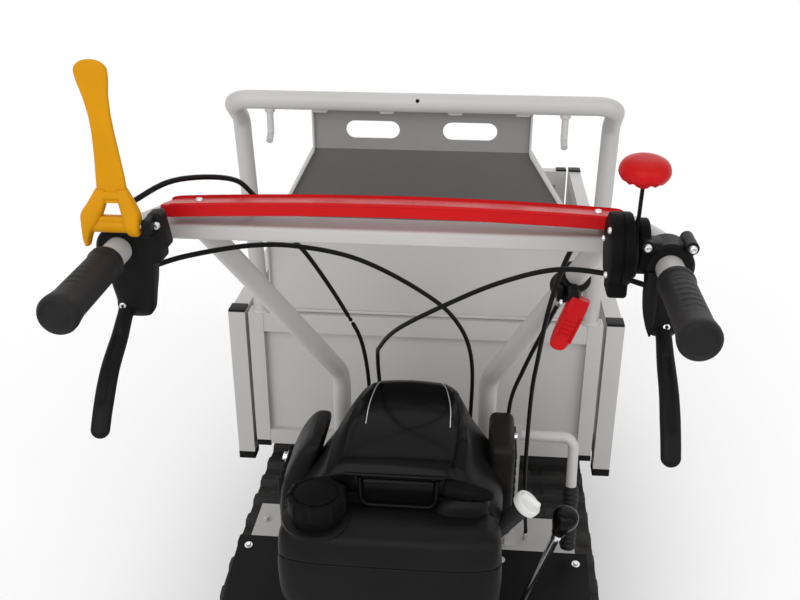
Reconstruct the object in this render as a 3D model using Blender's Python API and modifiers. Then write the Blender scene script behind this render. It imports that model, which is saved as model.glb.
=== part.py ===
"""Rubber-tracked power barrow: a small engine-driven dumper that its operator walks behind.

X is to the operator's right, Y forwards and Z up, in metres. Inside this script Y is measured
from the rear face of the bed and Z from the ground. One empty then moves the whole machine so
that its origin is at the middle of its footprint.
"""

import math

import bmesh
import bpy
from mathutils import Matrix, Vector

# Clearances
CLEAR = 0.0003
RUN = 0.0005

# Bed
BED_WIDTH = 0.69
BED_LENGTH = 0.933
RAIL_TOP = 0.66
POST = 0.030
POST_LENGTH = 0.302
POST_GAP = 0.006
FRAME_POST = 0.026
RAIL_DEPTH = 0.036
RAIL_INSET = 0.001
WELD = 0.005
SHEET = 0.003
FLOOR_TOP = 0.415
FLOOR_THICK = 0.004
LONGERON_X = 0.150
LONGERON_WIDTH = 0.025
LONGERON_BOTTOM = 0.3663
ROD = 0.016
ROD_DROP = 0.020
ROD_HEIGHT = FLOOR_TOP - ROD_DROP
ROD_WALL = 0.006
ROD_STATIONS = (0.20, 0.54)
ROD_INNER_X = 0.055
GATE_ROD_X = 0.22
GATE_ROD_REACH = 0.20
HINGE_Y = 0.62
HINGE_Z = 0.340
HINGE_RADIUS = 0.022
SHAFT_RADIUS = 0.010
SHAFT_HALF = 0.175

# Hoop and headboard behind the bed
HOOP_TUBE = 0.0135
HOOP_FOOT_X = 0.288
HOOP_TOP_X = 0.280
HOOP_HEIGHT = 0.405
HOOP_BACK = 0.120
HOOP_BEND = 0.040
BOARD_HALF = 0.270
BOARD_KNEE = 0.140
TAB_HALF = 0.1625
TAB_FOOT = 0.330
TAB_TOP = 0.389
SLOT_X = 0.072
SLOT_LENGTH = 0.080
SLOT_HEIGHT = 0.026

# Tracks
TRACK_HEIGHT = 0.32
TRACK_LENGTH = 1.00
TRACK_CENTRE = 0.08
TRACK_OUTER = 0.305
TRACK_WIDTH = 0.18
BELT_THICK = 0.012
LUG_HEIGHT = 0.016
LUG_WIDTH = 0.024
LUG_COUNT = 38
SPROCKET_TEETH = 13
SPROCKET_GAP = 0.004
IDLER_GAP = 0.002
TOOTH_DEPTH = 0.016
WHEEL_FACE = 0.030
BEAM_X = 0.215
BEAM_WIDTH = 0.040
BEAM_DEPTH = 0.060
AXLE = 0.012
ROLLER = 0.050
ROLLER_STATIONS = (-0.02, 0.20)

# Chassis
CHASSIS_X = 0.090
CHASSIS_WIDTH = 0.030
CHASSIS_BOTTOM = 0.20
CHASSIS_DEPTH = 0.050
CHASSIS_REAR = -0.50
DECK_TOP = 0.380
DECK_THICK = 0.010
DECK_HALF = 0.125
DECK_REAR = -0.545
DECK_FRONT = -0.150
EAR_HALF = 0.262
EAR_REAR = -0.255
EAR_FRONT = -0.170
CROSS_TUBE = 0.016
CROSS_STATIONS = (-0.06, 0.22)
REST_Y = 0.100
REST_DEPTH = 0.030
REST_LENGTH = 0.040
LATCH_X = 0.030
LATCH_LEAD = 0.0015
LATCH_RISE = 0.058
GUARD_OUTER = 0.280
GUARD_REAR = -0.450
GUARD_DROP = 0.045
GUARD_LIP = 0.050

# Drive
ENGINE_X = -0.010
ENGINE_Y = -0.390
GEAR_Y = -0.225
PULLEY_BASE = 0.318
PULLEY_THICK = 0.024
PULLEY_FLANGE = 0.008
ENGINE_PULLEY = 0.032
GEAR_PULLEY = 0.052
CRANK = 0.012
INPUT_SHAFT = 0.009
OUTPUT_SHAFT = 0.018
OUTPUT_BOSS = 0.030
BELT_SECTION = 0.008
BELT_RIDE = 0.0012
GEARBOX_DEPTH = 0.170
GEARBOX_BOTTOM = 0.070
GEARBOX_TOP = 0.290
TENSION_PIVOT = (0.085, -0.41)
TENSION_WHEEL = (0.0705, -0.30)
TENSION_RADIUS = 0.018
TENSION_EYE = 0.010
TENSION_PIN = 0.005

# Engine
BLOCK_HALF_X = 0.115
BLOCK_REAR = -0.475
BLOCK_FRONT = -0.285
BLOCK_TOP = 0.545
SHROUD_HALF_X = 0.125
SHROUD_REAR = -0.445
SHROUD_FRONT = -0.270
SHROUD_TOP = 0.700
SHROUD_TAPER = 0.035
TANK_LEFT = -0.160
TANK_RIGHT = 0.135
TANK_REAR = -0.530
TANK_BOTTOM = 0.470
TANK_TOP = 0.600
CAP_X = -0.105
CAP_Y = -0.490
CAP_RADIUS = 0.040
CAP_HEIGHT = 0.038
STARTER_X = 0.090
STARTER_Y = -0.4625
STARTER_WIDTH = 0.066
STARTER_HEIGHT = 0.020
STARTER_SEAT = 0.628
OIL_TUBE = 0.012
OIL_FOOT = (0.095, -0.415, 0.500)
OIL_TOP = (0.163, -0.425, 0.590)
OIL_CAP = 0.019
OIL_CAP_HEIGHT = 0.022
FILTER_DEPTH = 0.042
SIDE_DROP = 0.040
SIDE_RISE = 0.110
PORT = 0.010
PORT_DROP = 0.017
MUFFLER_DEPTH = 0.040

# Handlebar and controls
BAR_TUBE = 0.014
BAR_FOOT_X = 0.114
BAR_FOOT_Y = -0.200
BAR_KNEE = 0.0
BAR_TOP_X = 0.247
BAR_TOP_Y = -0.470
BAR_FLARE_Y = -0.535
GRIP_END_X = 0.279
GRIP_REACH = 0.757
GRIP_HEIGHT = 0.354
BAR_FALL = 0.003
BAR_TOP = GRIP_HEIGHT + BAR_FALL
GRIP_LENGTH = 0.125
GRIP_WALL = 0.003
GRIP_FLANGE = 0.005
GRIP_CHAMFER = 0.002
BAR_BEND = 0.060
PLATE_DROP = 0.013
PLATE_BOTTOM = BAR_TOP - PLATE_DROP
PLATE_DEPTH = 0.018
PLATE_REAR = -0.535
PLATE_FRONT = -0.495
CONSOLE_HALF = 0.260
CONSOLE_REAR = -0.545
CONSOLE_FRONT = -0.490
CONSOLE_HEIGHT = 0.016
CONSOLE_ARCH = 0.007
BRACKET_REAR = -0.600
BRACKET_FRONT = -0.565
BRACKET_INNER = 0.258
BRACKET_OUTER = 0.306
BRACKET_DROP = 0.052
BRACKET_BOTTOM = GRIP_HEIGHT - BRACKET_DROP
BRACKET_RISE = 0.031
BRACKET_TOP = GRIP_HEIGHT + BRACKET_RISE
LEVER_PIVOT_Y = -0.583
LEVER_DROP = 0.064
LEVER_PIVOT_Z = GRIP_HEIGHT - LEVER_DROP
LEVER_PIN = 0.004
LEVER_EYE = 0.0095
LEVER_BLADE = 0.0075
CLUTCH_Y = -0.6125
CLUTCH_RISE = 0.034
CLUTCH_Z = GRIP_HEIGHT + CLUTCH_RISE
CLUTCH_PIN = 0.0035
CLUTCH_EYE = 0.009
CLUTCH_LENGTH = 0.165
CLUTCH_TOP = CLUTCH_Z + CLUTCH_LENGTH
CLUTCH_THICK = 0.008
CLUTCH_BARREL = 0.0255
CLUTCH_ARM = 0.009
CLUTCH_LAP = 0.0055
THROTTLE_Y = -0.585
THROTTLE_RISE = 0.011
THROTTLE_Z = GRIP_HEIGHT + THROTTLE_RISE
THROTTLE_RADIUS = 0.037
THROTTLE_INNER = 0.219
THROTTLE_OUTER = 0.2415
THROTTLE_HUB = 0.020
STALK = 0.003
STALK_ELBOW_Y = -0.588
STALK_RISE = 0.040
STALK_ELBOW_Z = THROTTLE_Z + STALK_RISE
KNOB_X = 0.2455
KNOB_Y = -0.592
KNOB_RISE = 0.032
KNOB_Z = STALK_ELBOW_Z + KNOB_RISE
KNOB_RADIUS = 0.028
KNOB_HEIGHT = 0.036
CLAMP_SHARE = 0.69
CLAMP_LENGTH = 0.036
CLAMP_WALL = 0.007
TRIGGER_X = 0.2065
TRIGGER_Y = -0.430
TRIGGER_DROP = 0.00833
TRIGGER_TOP = CLAMP_SHARE * BAR_TOP - TRIGGER_DROP
TRIGGER_LENGTH = 0.066
TRIGGER_WIDTH = 0.026
SHIFT_FOOT = (0.160, -0.385)
SHIFT_SEAT = 0.330
SHIFT_ROD = 0.006
SHIFT_BALL = 0.009
SHIFT_TOP = (0.215, -0.405, 0.535)
SHIFT_KNOB = 0.018
SHIFT_KNOB_HEIGHT = 0.044
LOCK_X = 0.158
LOCK_Y = -0.236
LOCK_Z = 0.585
LOCK_POST = 0.016
LOCK_TUBE = 0.008
LOCK_REACH = 0.2465
LOCK_DROP = 0.078
LOCK_LEAN = 0.016
LOCK_GRIP = 0.012
LOCK_GRIP_LENGTH = 0.105
CABLE = 0.003

# Bowden cable routes: X, Y and height above the bed rail.
# The first and last stretches run straight off their seats.
CLUTCH_ROUTE = ((-0.275, -0.575, 0.3853), (-0.275, -0.575, 0.396), (-0.236, -0.534, 0.411),
                (-0.191, -0.475, 0.396), (-0.173, -0.440, 0.365), (-0.148, -0.390, 0.302),
                (-0.126, -0.340, 0.242), (-0.094, -0.280, 0.145), (-0.074, -0.240, 0.066),
                (-0.066, -0.225, -0.050), (-0.066, -0.222, -0.262), (-0.066, -0.222, -0.2797))
LEFT_ROUTE = ((-0.271, -0.5647, 0.316), (-0.271, -0.553, 0.316), (-0.234, -0.520, 0.319),
              (-0.175, -0.470, 0.314), (-0.124, -0.430, 0.299), (-0.057, -0.390, 0.268),
              (0.015, -0.340, 0.207), (0.062, -0.298, 0.146), (0.086, -0.262, 0.069),
              (0.088, -0.232, -0.050), (0.078, -0.225, -0.262), (0.078, -0.225, -0.2797))
RIGHT_ROUTE = ((0.271, -0.5647, 0.316), (0.271, -0.553, 0.316), (0.228, -0.522, 0.316),
               (0.176, -0.490, 0.305), (0.117, -0.440, 0.265), (0.057, -0.410, 0.222),
               (-0.010, -0.360, 0.160), (-0.040, -0.310, 0.107), (-0.050, -0.262, 0.061),
               (-0.048, -0.235, -0.040), (-0.040, -0.228, -0.262), (-0.040, -0.228, -0.2797))
THROTTLE_ROUTE = ((0.230, -0.5477, 0.3668), (0.230, -0.538, 0.3668), (0.224, -0.492, 0.3668),
                  (0.204, -0.474, 0.342), (0.188, -0.460, 0.295), (0.178, -0.430, 0.227),
                  (0.173, -0.385, 0.138), (0.170, -0.345, 0.051), (0.172, -0.300, -0.113),
                  (0.184, -0.225, -0.262), (0.184, -0.225, -0.2797))
RELEASE_ROUTE = ((0.1971, -0.3903, 0.2226), (0.1914, -0.3787, 0.2073), (0.180, -0.358, 0.165),
                 (0.160, -0.310, 0.080), (0.146, -0.262, -0.004), (0.146, -0.214, -0.120),
                 (0.150, -0.190, -0.262), (0.150, -0.190, -0.2797))

LIGHT_GREY = (0.60, 0.59, 0.58, 1.0)
BLACK_PLASTIC = (0.02, 0.02, 0.022, 1.0)
RUBBER = (0.028, 0.028, 0.03, 1.0)
RED = (0.62, 0.02, 0.03, 1.0)
AMBER = (0.86, 0.47, 0.03, 1.0)
STEEL = (0.62, 0.62, 0.63, 1.0)
SIDES = (("left", -1), ("right", 1))

for leftover in list(bpy.data.objects):
    bpy.data.objects.remove(leftover, do_unlink=True)
PARTS = bpy.data.collections.new("tracked_power_barrow")
CUTTERS = bpy.data.collections.new("cutters")
for made in (PARTS, CUTTERS):
    bpy.context.scene.collection.children.link(made)


# Shapes

def from_bmesh(name, bm):
    """A new object of the parts collection that holds this bmesh."""
    bmesh.ops.recalc_face_normals(bm, faces=bm.faces)
    mesh = bpy.data.meshes.new(name)
    bm.to_mesh(mesh)
    bm.free()
    obj = bpy.data.objects.new(name, mesh)
    PARTS.objects.link(obj)
    return obj


def box(name, low, high, taper=0.0):
    """A box between two corners; taper draws each side of its top in."""
    low, high = Vector(low), Vector(high)
    size = high - low
    bm = bmesh.new()
    scale = Matrix.Diagonal((size.x, size.y, size.z, 1.0))
    bmesh.ops.create_cube(bm, size=1.0, matrix=Matrix.Translation((low + high) / 2) @ scale)
    middle = (low + high) / 2
    for vertex in bm.verts:
        if vertex.co.z > middle.z:
            vertex.co.x -= math.copysign(taper, vertex.co.x - middle.x)
            vertex.co.y -= math.copysign(taper, vertex.co.y - middle.y)
    return from_bmesh(name, bm)


def mirrored_box(name, side, low, high):
    """A box given for the right side, on the left when side is -1."""
    xs = sorted((side * low[0], side * high[0]))
    return box(name, (xs[0], low[1], low[2]), (xs[1], high[1], high[2]))


def rod(name, start, end, radius, segments=16):
    """A round bar between two points."""
    start, end = Vector(start), Vector(end)
    turn = (end - start).to_track_quat("Z", "Y").to_matrix().to_4x4()
    bm = bmesh.new()
    bmesh.ops.create_cone(bm, cap_ends=True, segments=segments, radius1=radius, radius2=radius,
                          depth=(end - start).length, matrix=Matrix.Translation((start + end) / 2) @ turn)
    return from_bmesh(name, bm)


def tube(name, points, radius, resolution=2):
    """A bent bar of round section along a list of points."""
    curve = bpy.data.curves.new(name, "CURVE")
    curve.dimensions = "3D"
    curve.bevel_depth = radius
    curve.bevel_resolution = resolution
    curve.use_fill_caps = True
    spline = curve.splines.new("POLY")
    spline.points.add(len(points) - 1)
    for point, place in zip(spline.points, points):
        point.co = (*place, 1.0)
    obj = bpy.data.objects.new(name, curve)
    PARTS.objects.link(obj)
    return obj


OUTLINE_TURNS = {
    "X": Matrix(((0, 0, 1), (1, 0, 0), (0, 1, 0))),
    "Y": Matrix(((1, 0, 0), (0, 0, -1), (0, 1, 0))),
    "Z": Matrix.Identity(3),
}


def plate(name, outlines, span, axis):
    """A flat piece: closed outlines, the second and later ones holes, extruded over span along an axis."""
    curve = bpy.data.curves.new(name, "CURVE")
    curve.dimensions = "2D"
    curve.fill_mode = "BOTH"
    curve.extrude = abs(span[1] - span[0]) / 2
    for outline in outlines:
        spline = curve.splines.new("POLY")
        spline.use_cyclic_u = True
        spline.points.add(len(outline) - 1)
        for point, place in zip(spline.points, outline):
            point.co = (place[0], place[1], 0.0, 1.0)
    obj = bpy.data.objects.new(name, curve)
    place = Vector([sum(span) / 2 if letter == axis else 0.0 for letter in "XYZ"])
    obj.matrix_world = Matrix.Translation(place) @ OUTLINE_TURNS[axis].to_4x4()
    PARTS.objects.link(obj)
    return solid_mesh(obj)


def solid_mesh(curve_object):
    """The curve object as a closed mesh object of the same name and place."""
    bpy.context.view_layer.update()
    graph = bpy.context.evaluated_depsgraph_get()
    made = bpy.data.meshes.new_from_object(curve_object.evaluated_get(graph))
    made.transform(curve_object.matrix_world)
    name = curve_object.name
    bpy.data.objects.remove(curve_object, do_unlink=True)
    bm = bmesh.new()
    bm.from_mesh(made)
    bmesh.ops.remove_doubles(bm, verts=bm.verts, dist=1e-6)
    bpy.data.meshes.remove(made)
    return from_bmesh(name, bm)


def turned(name, profile, base, direction, steps=18):
    """A turned piece: (radius, height) points down its outer side, stood on base along direction."""
    mesh = bpy.data.meshes.new(name)
    edges = [(i, i + 1) for i in range(len(profile) - 1)]
    if profile[0][0] > 0:
        edges.append((len(profile) - 1, 0))
    mesh.from_pydata([(radius, 0.0, height) for radius, height in profile], edges, [])
    obj = bpy.data.objects.new(name, mesh)
    turn = Vector(direction).to_track_quat("Z", "Y").to_matrix().to_4x4()
    obj.matrix_world = Matrix.Translation(Vector(base)) @ turn
    screw = obj.modifiers.new("turn", "SCREW")
    screw.steps = steps
    screw.render_steps = steps
    screw.use_merge_vertices = True
    screw.merge_threshold = 1e-5
    PARTS.objects.link(obj)
    return obj


def combine(base, others, operation):
    """Joins the other objects to base, or cuts them from it, with one live Boolean."""
    group = bpy.data.collections.new(f"{base.name}_{operation.lower()}")
    CUTTERS.children.link(group)
    for other in others:
        PARTS.objects.unlink(other)
        group.objects.link(other)
        other.hide_render = True
        other.display_type = "WIRE"
    modifier = base.modifiers.new(operation.lower(), "BOOLEAN")
    modifier.operation = operation
    modifier.operand_type = "COLLECTION"
    modifier.collection = group
    modifier.solver = "EXACT"
    return base


def weld(base, *others):
    return combine(base, others, "UNION")


def cut(base, *others):
    return combine(base, others, "DIFFERENCE")


def rounded(obj, width, segments=2):
    bevel = obj.modifiers.new("round", "BEVEL")
    bevel.width = width
    bevel.segments = segments
    return obj


def arc(centre, radius, start, end, count):
    """Points on an arc in a plane, angles in radians."""
    steps = [start + (end - start) * i / count for i in range(count + 1)]
    return [(centre[0] + radius * math.cos(a), centre[1] + radius * math.sin(a)) for a in steps]


def bent(corners, radius, count=6):
    """A polyline whose inner corners are rounded to the bend radius."""
    corners = [Vector(c) for c in corners]
    points = [corners[0]]
    for before, corner, after in zip(corners, corners[1:], corners[2:]):
        back, ahead = (before - corner).normalized(), (after - corner).normalized()
        half = back.angle(ahead) / 2
        reach = radius / math.tan(half)
        centre = corner + (back + ahead).normalized() * radius / math.sin(half)
        first, last = corner + back * reach - centre, corner + ahead * reach - centre
        sweep = first.angle(last)
        for i in range(count + 1):
            t = i / count
            points.append(centre + (first * math.sin((1 - t) * sweep)
                                    + last * math.sin(t * sweep)) / math.sin(sweep))
    return points + [corners[-1]]


def smooth(points, per_span=2):
    """A Catmull-Rom curve through the points."""
    knots = [Vector(p) for p in points]
    padded = [2 * knots[0] - knots[1], *knots, 2 * knots[-1] - knots[-2]]
    made = []
    for a, b, c, d in zip(padded, padded[1:], padded[2:], padded[3:]):
        for i in range(per_span):
            t = i / per_span
            made.append(0.5 * (2 * b + (c - a) * t + (2 * a - 5 * b + 4 * c - d) * t ** 2
                               + (3 * b - a - 3 * c + d) * t ** 3))
    return made + [knots[-1]]


def above_rail(points):
    return [(x, y, z + RAIL_TOP) for x, y, z in points]


def finish(obj, name, colour, roughness, metallic=0.0):
    """Names the node and gives it its own material."""
    obj.name = name
    obj.data.name = name
    material = bpy.data.materials.new(name)
    material.use_nodes = True
    shader = material.node_tree.nodes["Principled BSDF"]
    shader.inputs["Base Color"].default_value = colour
    shader.inputs["Roughness"].default_value = roughness
    shader.inputs["Metallic"].default_value = metallic
    obj.data.materials.clear()
    obj.data.materials.append(material)
    return obj


def pivot(name, place, *objects):
    """An empty on a joint's axis that carries the pieces of one moving body."""
    empty = bpy.data.objects.new(name, None)
    empty.location = place
    PARTS.objects.link(empty)
    for obj in objects:
        obj.parent = empty
        obj.matrix_parent_inverse = Matrix.Translation(Vector(place)).inverted()
    return empty


# Bed

FRAME_OUTER = BED_WIDTH / 2 - POST - POST_GAP
FRAME_INNER = FRAME_OUTER - FRAME_POST
POST_BOTTOM = RAIL_TOP - POST_LENGTH
FLOOR_BOTTOM = FLOOR_TOP - FLOOR_THICK
SIDE_INNER = BED_WIDTH / 2 - POST
GATE_REAR = BED_LENGTH - POST
ROD_LOW = ROD_HEIGHT - ROD / 2
ROD_HIGH = ROD_HEIGHT + ROD / 2
BOTTOM_RAIL_TOP = FLOOR_TOP + 0.005


def end_frame(name, rear, front, post_bottom):
    """Two posts with a top rail, a bottom rail and a recessed sheet between them."""
    inset = RAIL_INSET
    body = box(name, (-FRAME_OUTER + inset, rear + inset, RAIL_TOP - RAIL_DEPTH),
               (FRAME_OUTER - inset, front - inset, RAIL_TOP))
    pieces = [mirrored_box(name + "_post", side, (FRAME_INNER, rear, post_bottom),
                           (FRAME_OUTER, front, RAIL_TOP))
              for _, side in SIDES]
    pieces.append(box(name + "_foot", (-FRAME_OUTER + inset, rear + inset, BOTTOM_RAIL_TOP - 0.030),
                      (FRAME_OUTER - inset, front - inset, BOTTOM_RAIL_TOP)))
    middle = (rear + front) / 2
    pieces.append(box(name + "_sheet", (-FRAME_INNER - inset, middle - SHEET / 2, BOTTOM_RAIL_TOP - WELD),
                      (FRAME_INNER + inset, middle + SHEET / 2, RAIL_TOP - RAIL_DEPTH + WELD)))
    return body, pieces


def make_rear_frame():
    body, pieces = end_frame("rear_frame", 0.0, POST, POST_BOTTOM + 0.03)
    return finish(weld(body, *pieces), "rear_frame", LIGHT_GREY, 0.45)


def make_front_gate():
    body, pieces = end_frame("front_gate", GATE_REAR, BED_LENGTH, POST_BOTTOM)
    for _, side in SIDES:
        pieces.append(mirrored_box("gate_rod", side,
                                   (GATE_ROD_X - ROD / 2, GATE_REAR - GATE_ROD_REACH, ROD_LOW),
                                   (GATE_ROD_X + ROD / 2, GATE_REAR + 0.006, ROD_HIGH)))
    return finish(weld(body, *pieces), "front_gate", LIGHT_GREY, 0.45)


def make_side(name, side):
    """A sliding side wall: a post at each end, two rails, a sheet and two rods that run in the floor."""
    outer = BED_WIDTH / 2
    inset = RAIL_INSET
    body = mirrored_box(name, side, (SIDE_INNER, 0.0, POST_BOTTOM), (outer, POST, RAIL_TOP))
    pieces = [mirrored_box("post", side, (SIDE_INNER, GATE_REAR, POST_BOTTOM),
                           (outer, BED_LENGTH, RAIL_TOP))]
    for low, high in ((RAIL_TOP - RAIL_DEPTH, RAIL_TOP - inset), (ROD_LOW - 0.006, BOTTOM_RAIL_TOP)):
        pieces.append(mirrored_box("rail", side, (SIDE_INNER + inset, inset, low),
                                   (outer - inset, BED_LENGTH - inset, high)))
    middle = outer - POST / 2
    pieces.append(mirrored_box("sheet", side, (middle - SHEET / 2, POST - WELD, BOTTOM_RAIL_TOP - WELD),
                               (middle + SHEET / 2, GATE_REAR + WELD, RAIL_TOP - RAIL_DEPTH + WELD)))
    for station in ROD_STATIONS:
        pieces.append(mirrored_box("rod", side, (ROD_INNER_X, station - ROD / 2, ROD_LOW),
                                   (SIDE_INNER + 0.006, station + ROD / 2, ROD_HIGH)))
    return finish(weld(body, *pieces), name + "_side", LIGHT_GREY, 0.45)


def make_floor():
    """Floor sheet with two longerons, hinge ears and guide blocks for the sliding rods."""
    rear, front = POST + CLEAR, GATE_REAR - CLEAR
    edge = SIDE_INNER - 0.003
    body = box("bed_floor", (-edge, rear, FLOOR_BOTTOM), (edge, front, FLOOR_TOP))
    into = FLOOR_BOTTOM + FLOOR_THICK / 2
    pieces, cutters = [], []
    low, high = LONGERON_X - LONGERON_WIDTH / 2, LONGERON_X + LONGERON_WIDTH / 2
    guide = ROD / 2 + ROD_WALL
    channel = ROD / 2 + RUN
    for _, side in SIDES:
        pieces.append(mirrored_box("longeron", side, (low, rear + 0.002, LONGERON_BOTTOM),
                                   (high, front - 0.010, into)))
        pieces.append(mirrored_box("ear", side, (low, HINGE_Y - HINGE_RADIUS, HINGE_Z),
                                   (high, HINGE_Y + HINGE_RADIUS, LONGERON_BOTTOM + 0.010)))
        pieces.append(rod("ear_eye", (side * low, HINGE_Y, HINGE_Z), (side * high, HINGE_Y, HINGE_Z),
                          HINGE_RADIUS))
        cutters.append(rod("ear_bore", (side * (low - 0.01), HINGE_Y, HINGE_Z),
                           (side * (high + 0.01), HINGE_Y, HINGE_Z),
                           SHAFT_RADIUS + CLEAR))
        for station in ROD_STATIONS:
            pieces.append(mirrored_box("guide", side,
                                       (ROD_INNER_X - 0.015, station - guide, ROD_HEIGHT - guide),
                                       (edge - 0.010, station + guide, into)))
            cutters.append(mirrored_box("channel", side,
                                        (ROD_INNER_X - RUN, station - channel, ROD_HEIGHT - channel),
                                        (edge + 0.010, station + channel, ROD_HEIGHT + channel)))
        reach = GATE_REAR - GATE_ROD_REACH
        pieces.append(mirrored_box("gate_guide", side,
                                   (GATE_ROD_X - guide, reach - 0.015, ROD_HEIGHT - guide),
                                   (GATE_ROD_X + guide, front - 0.008, into)))
        cutters.append(mirrored_box("gate_channel", side,
                                    (GATE_ROD_X - channel, reach - RUN, ROD_HEIGHT - channel),
                                    (GATE_ROD_X + channel, front + 0.010, ROD_HEIGHT + channel)))
    return finish(cut(weld(body, *pieces), *cutters), "bed_floor", LIGHT_GREY, 0.5)


def make_hoop():
    foot = RAIL_TOP + CLEAR
    knee_back, knee_height = HOOP_BACK * 0.42, HOOP_HEIGHT - 0.045
    half = [(HOOP_FOOT_X, POST / 2, foot), (HOOP_FOOT_X, POST / 2, foot + 2 * HOOP_TUBE),
            (HOOP_TOP_X + 0.003, -knee_back, RAIL_TOP + knee_height),
            (HOOP_TOP_X, -HOOP_BACK, RAIL_TOP + HOOP_HEIGHT)]
    corners = half + [(-x, y, z) for x, y, z in reversed(half)]
    obj = tube("hoop", bent(corners, HOOP_BEND, 4), HOOP_TUBE, 3)
    return finish(obj, "hoop", LIGHT_GREY, 0.4)


def make_headboard():
    """A sheet bent twice: upright on the rail, then a leaning trapezoid, then a tab with two hand slots."""
    thick = SHEET
    foot_y, tab_y = POST / 2, -HOOP_BACK + HOOP_TUBE + 2 * SHEET
    rows = ((BOARD_HALF, foot_y, CLEAR), (BOARD_HALF, foot_y, BOARD_KNEE),
            (TAB_HALF, tab_y, TAB_FOOT), (TAB_HALF, tab_y, TAB_TOP))
    bm = bmesh.new()
    lines = [[bm.verts.new((x * side, y, RAIL_TOP + z)) for side in (-1, 1)] for x, y, z in rows]
    for (a, b), (c, d) in zip(lines, lines[1:]):
        bm.faces.new((a, b, d, c))
    board = from_bmesh("headboard", bm)
    solidify = board.modifiers.new("sheet", "SOLIDIFY")
    solidify.thickness = thick
    solidify.offset = 0.0
    middle = RAIL_TOP + (TAB_FOOT + TAB_TOP) / 2
    cutters = []
    for _, side in SIDES:
        run = SLOT_LENGTH / 2 - SLOT_HEIGHT / 2
        centre = side * SLOT_X
        outline = (arc((centre + run, middle), SLOT_HEIGHT / 2, -math.pi / 2, math.pi / 2, 8)
                   + arc((centre - run, middle), SLOT_HEIGHT / 2, math.pi / 2, math.pi * 1.5, 8))
        cutters.append(plate("hand_slot", [outline], (tab_y - 0.02, tab_y + 0.02), "Y"))
    return finish(cut(board, *cutters), "headboard", LIGHT_GREY, 0.45)


# Tracks

TRACK_RADIUS = TRACK_HEIGHT / 2
TRACK_RUN = TRACK_LENGTH / 2 - TRACK_RADIUS
SPROCKET_Y = TRACK_CENTRE - TRACK_RUN
IDLER_Y = TRACK_CENTRE + TRACK_RUN
BELT_OUTER = TRACK_RADIUS - LUG_HEIGHT
BELT_INNER = BELT_OUTER - BELT_THICK
ROLLER_Z = LUG_HEIGHT + BELT_THICK + ROLLER + CLEAR
BEAM_TOP = TRACK_RADIUS + BEAM_DEPTH / 2
BEAM_REAR = SPROCKET_Y + BELT_INNER


def loop_point(distance, lift):
    """A point of the track's outer face at a distance round it, raised by lift."""
    radius = BELT_OUTER
    half_turn = math.pi * radius
    straight = 2 * TRACK_RUN
    place = distance % (2 * straight + 2 * half_turn)
    if place < straight:
        return SPROCKET_Y + place, TRACK_RADIUS - radius - lift
    place -= straight
    if place < half_turn:
        turn = place / radius - math.pi / 2
        return IDLER_Y + (radius + lift) * math.cos(turn), TRACK_RADIUS + (radius + lift) * math.sin(turn)
    place -= half_turn
    if place < straight:
        return IDLER_Y - place, TRACK_RADIUS + radius + lift
    turn = (place - straight) / radius + math.pi / 2
    return SPROCKET_Y + (radius + lift) * math.cos(turn), TRACK_RADIUS + (radius + lift) * math.sin(turn)


def make_track_belt(name, side):
    length = 4 * TRACK_RUN + 2 * math.pi * BELT_OUTER
    pitch = length / LUG_COUNT
    outline = []
    for i in range(LUG_COUNT):
        start = i * pitch
        stop = start + LUG_WIDTH
        outline += [loop_point(start, 0.0), loop_point(start, LUG_HEIGHT), loop_point(stop, LUG_HEIGHT),
                    loop_point(stop, 0.0)]
    inner = (arc((IDLER_Y, TRACK_RADIUS), BELT_INNER, -math.pi / 2, math.pi / 2, 14)
             + arc((SPROCKET_Y, TRACK_RADIUS), BELT_INNER, math.pi / 2, math.pi * 1.5, 14))
    xs = sorted((side * (TRACK_OUTER - TRACK_WIDTH), side * TRACK_OUTER))
    return finish(plate("belt", [outline, inner], xs, "X"), name + "_track_belt", RUBBER, 0.75)


def make_sprocket(name, side):
    """Toothed drive wheel with the output shaft that runs into the gearbox."""
    outer = BELT_INNER - SPROCKET_GAP
    outline = []
    for i in range(SPROCKET_TEETH):
        for share, radius in ((0.0, outer - TOOTH_DEPTH), (0.30, outer - TOOTH_DEPTH), (0.45, outer),
                              (0.85, outer)):
            turn = 2 * math.pi * (i + share) / SPROCKET_TEETH
            outline.append((SPROCKET_Y + radius * math.cos(turn), TRACK_RADIUS + radius * math.sin(turn)))
    xs = sorted((side * (BEAM_X - WHEEL_FACE), side * (BEAM_X + WHEEL_FACE)))
    wheel = plate("wheel", [outline], xs, "X")
    inner_end = GEARBOX_HALF + RUN + 0.010
    shaft = rod("shaft", (side * inner_end, SPROCKET_Y, TRACK_RADIUS),
                (side * BEAM_X, SPROCKET_Y, TRACK_RADIUS), OUTPUT_SHAFT)
    hub = rod("hub", (side * (BEAM_X - 0.01), SPROCKET_Y, TRACK_RADIUS),
              (side * (BEAM_X + WHEEL_FACE + 0.012), SPROCKET_Y, TRACK_RADIUS), OUTPUT_BOSS)
    made = finish(weld(wheel, shaft, hub), name + "_drive_sprocket", STEEL, 0.5, 0.6)
    pivot(name + "_sprocket_axis", (side * BEAM_X, SPROCKET_Y, TRACK_RADIUS), made)


def spool(name, side, y, z, radius, axle):
    """Two discs astride the track beam on one axle, as a turned profile along X."""
    inner, outer = BEAM_WIDTH / 2 + 0.010, BEAM_WIDTH / 2 + 0.010 + WHEEL_FACE
    bevel = 0.004
    profile = [(0.0, outer), (radius - bevel, outer), (radius, outer - bevel), (radius, inner),
               (axle, inner),
               (axle, -inner), (radius, -inner), (radius, -outer + bevel), (radius - bevel, -outer),
               (0.0, -outer)]
    centre = (side * BEAM_X, y, z)
    made = finish(turned("spool", profile, centre, (1, 0, 0), 22), name, RUBBER, 0.6)
    pivot(name + "_axis", centre, made)


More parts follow.
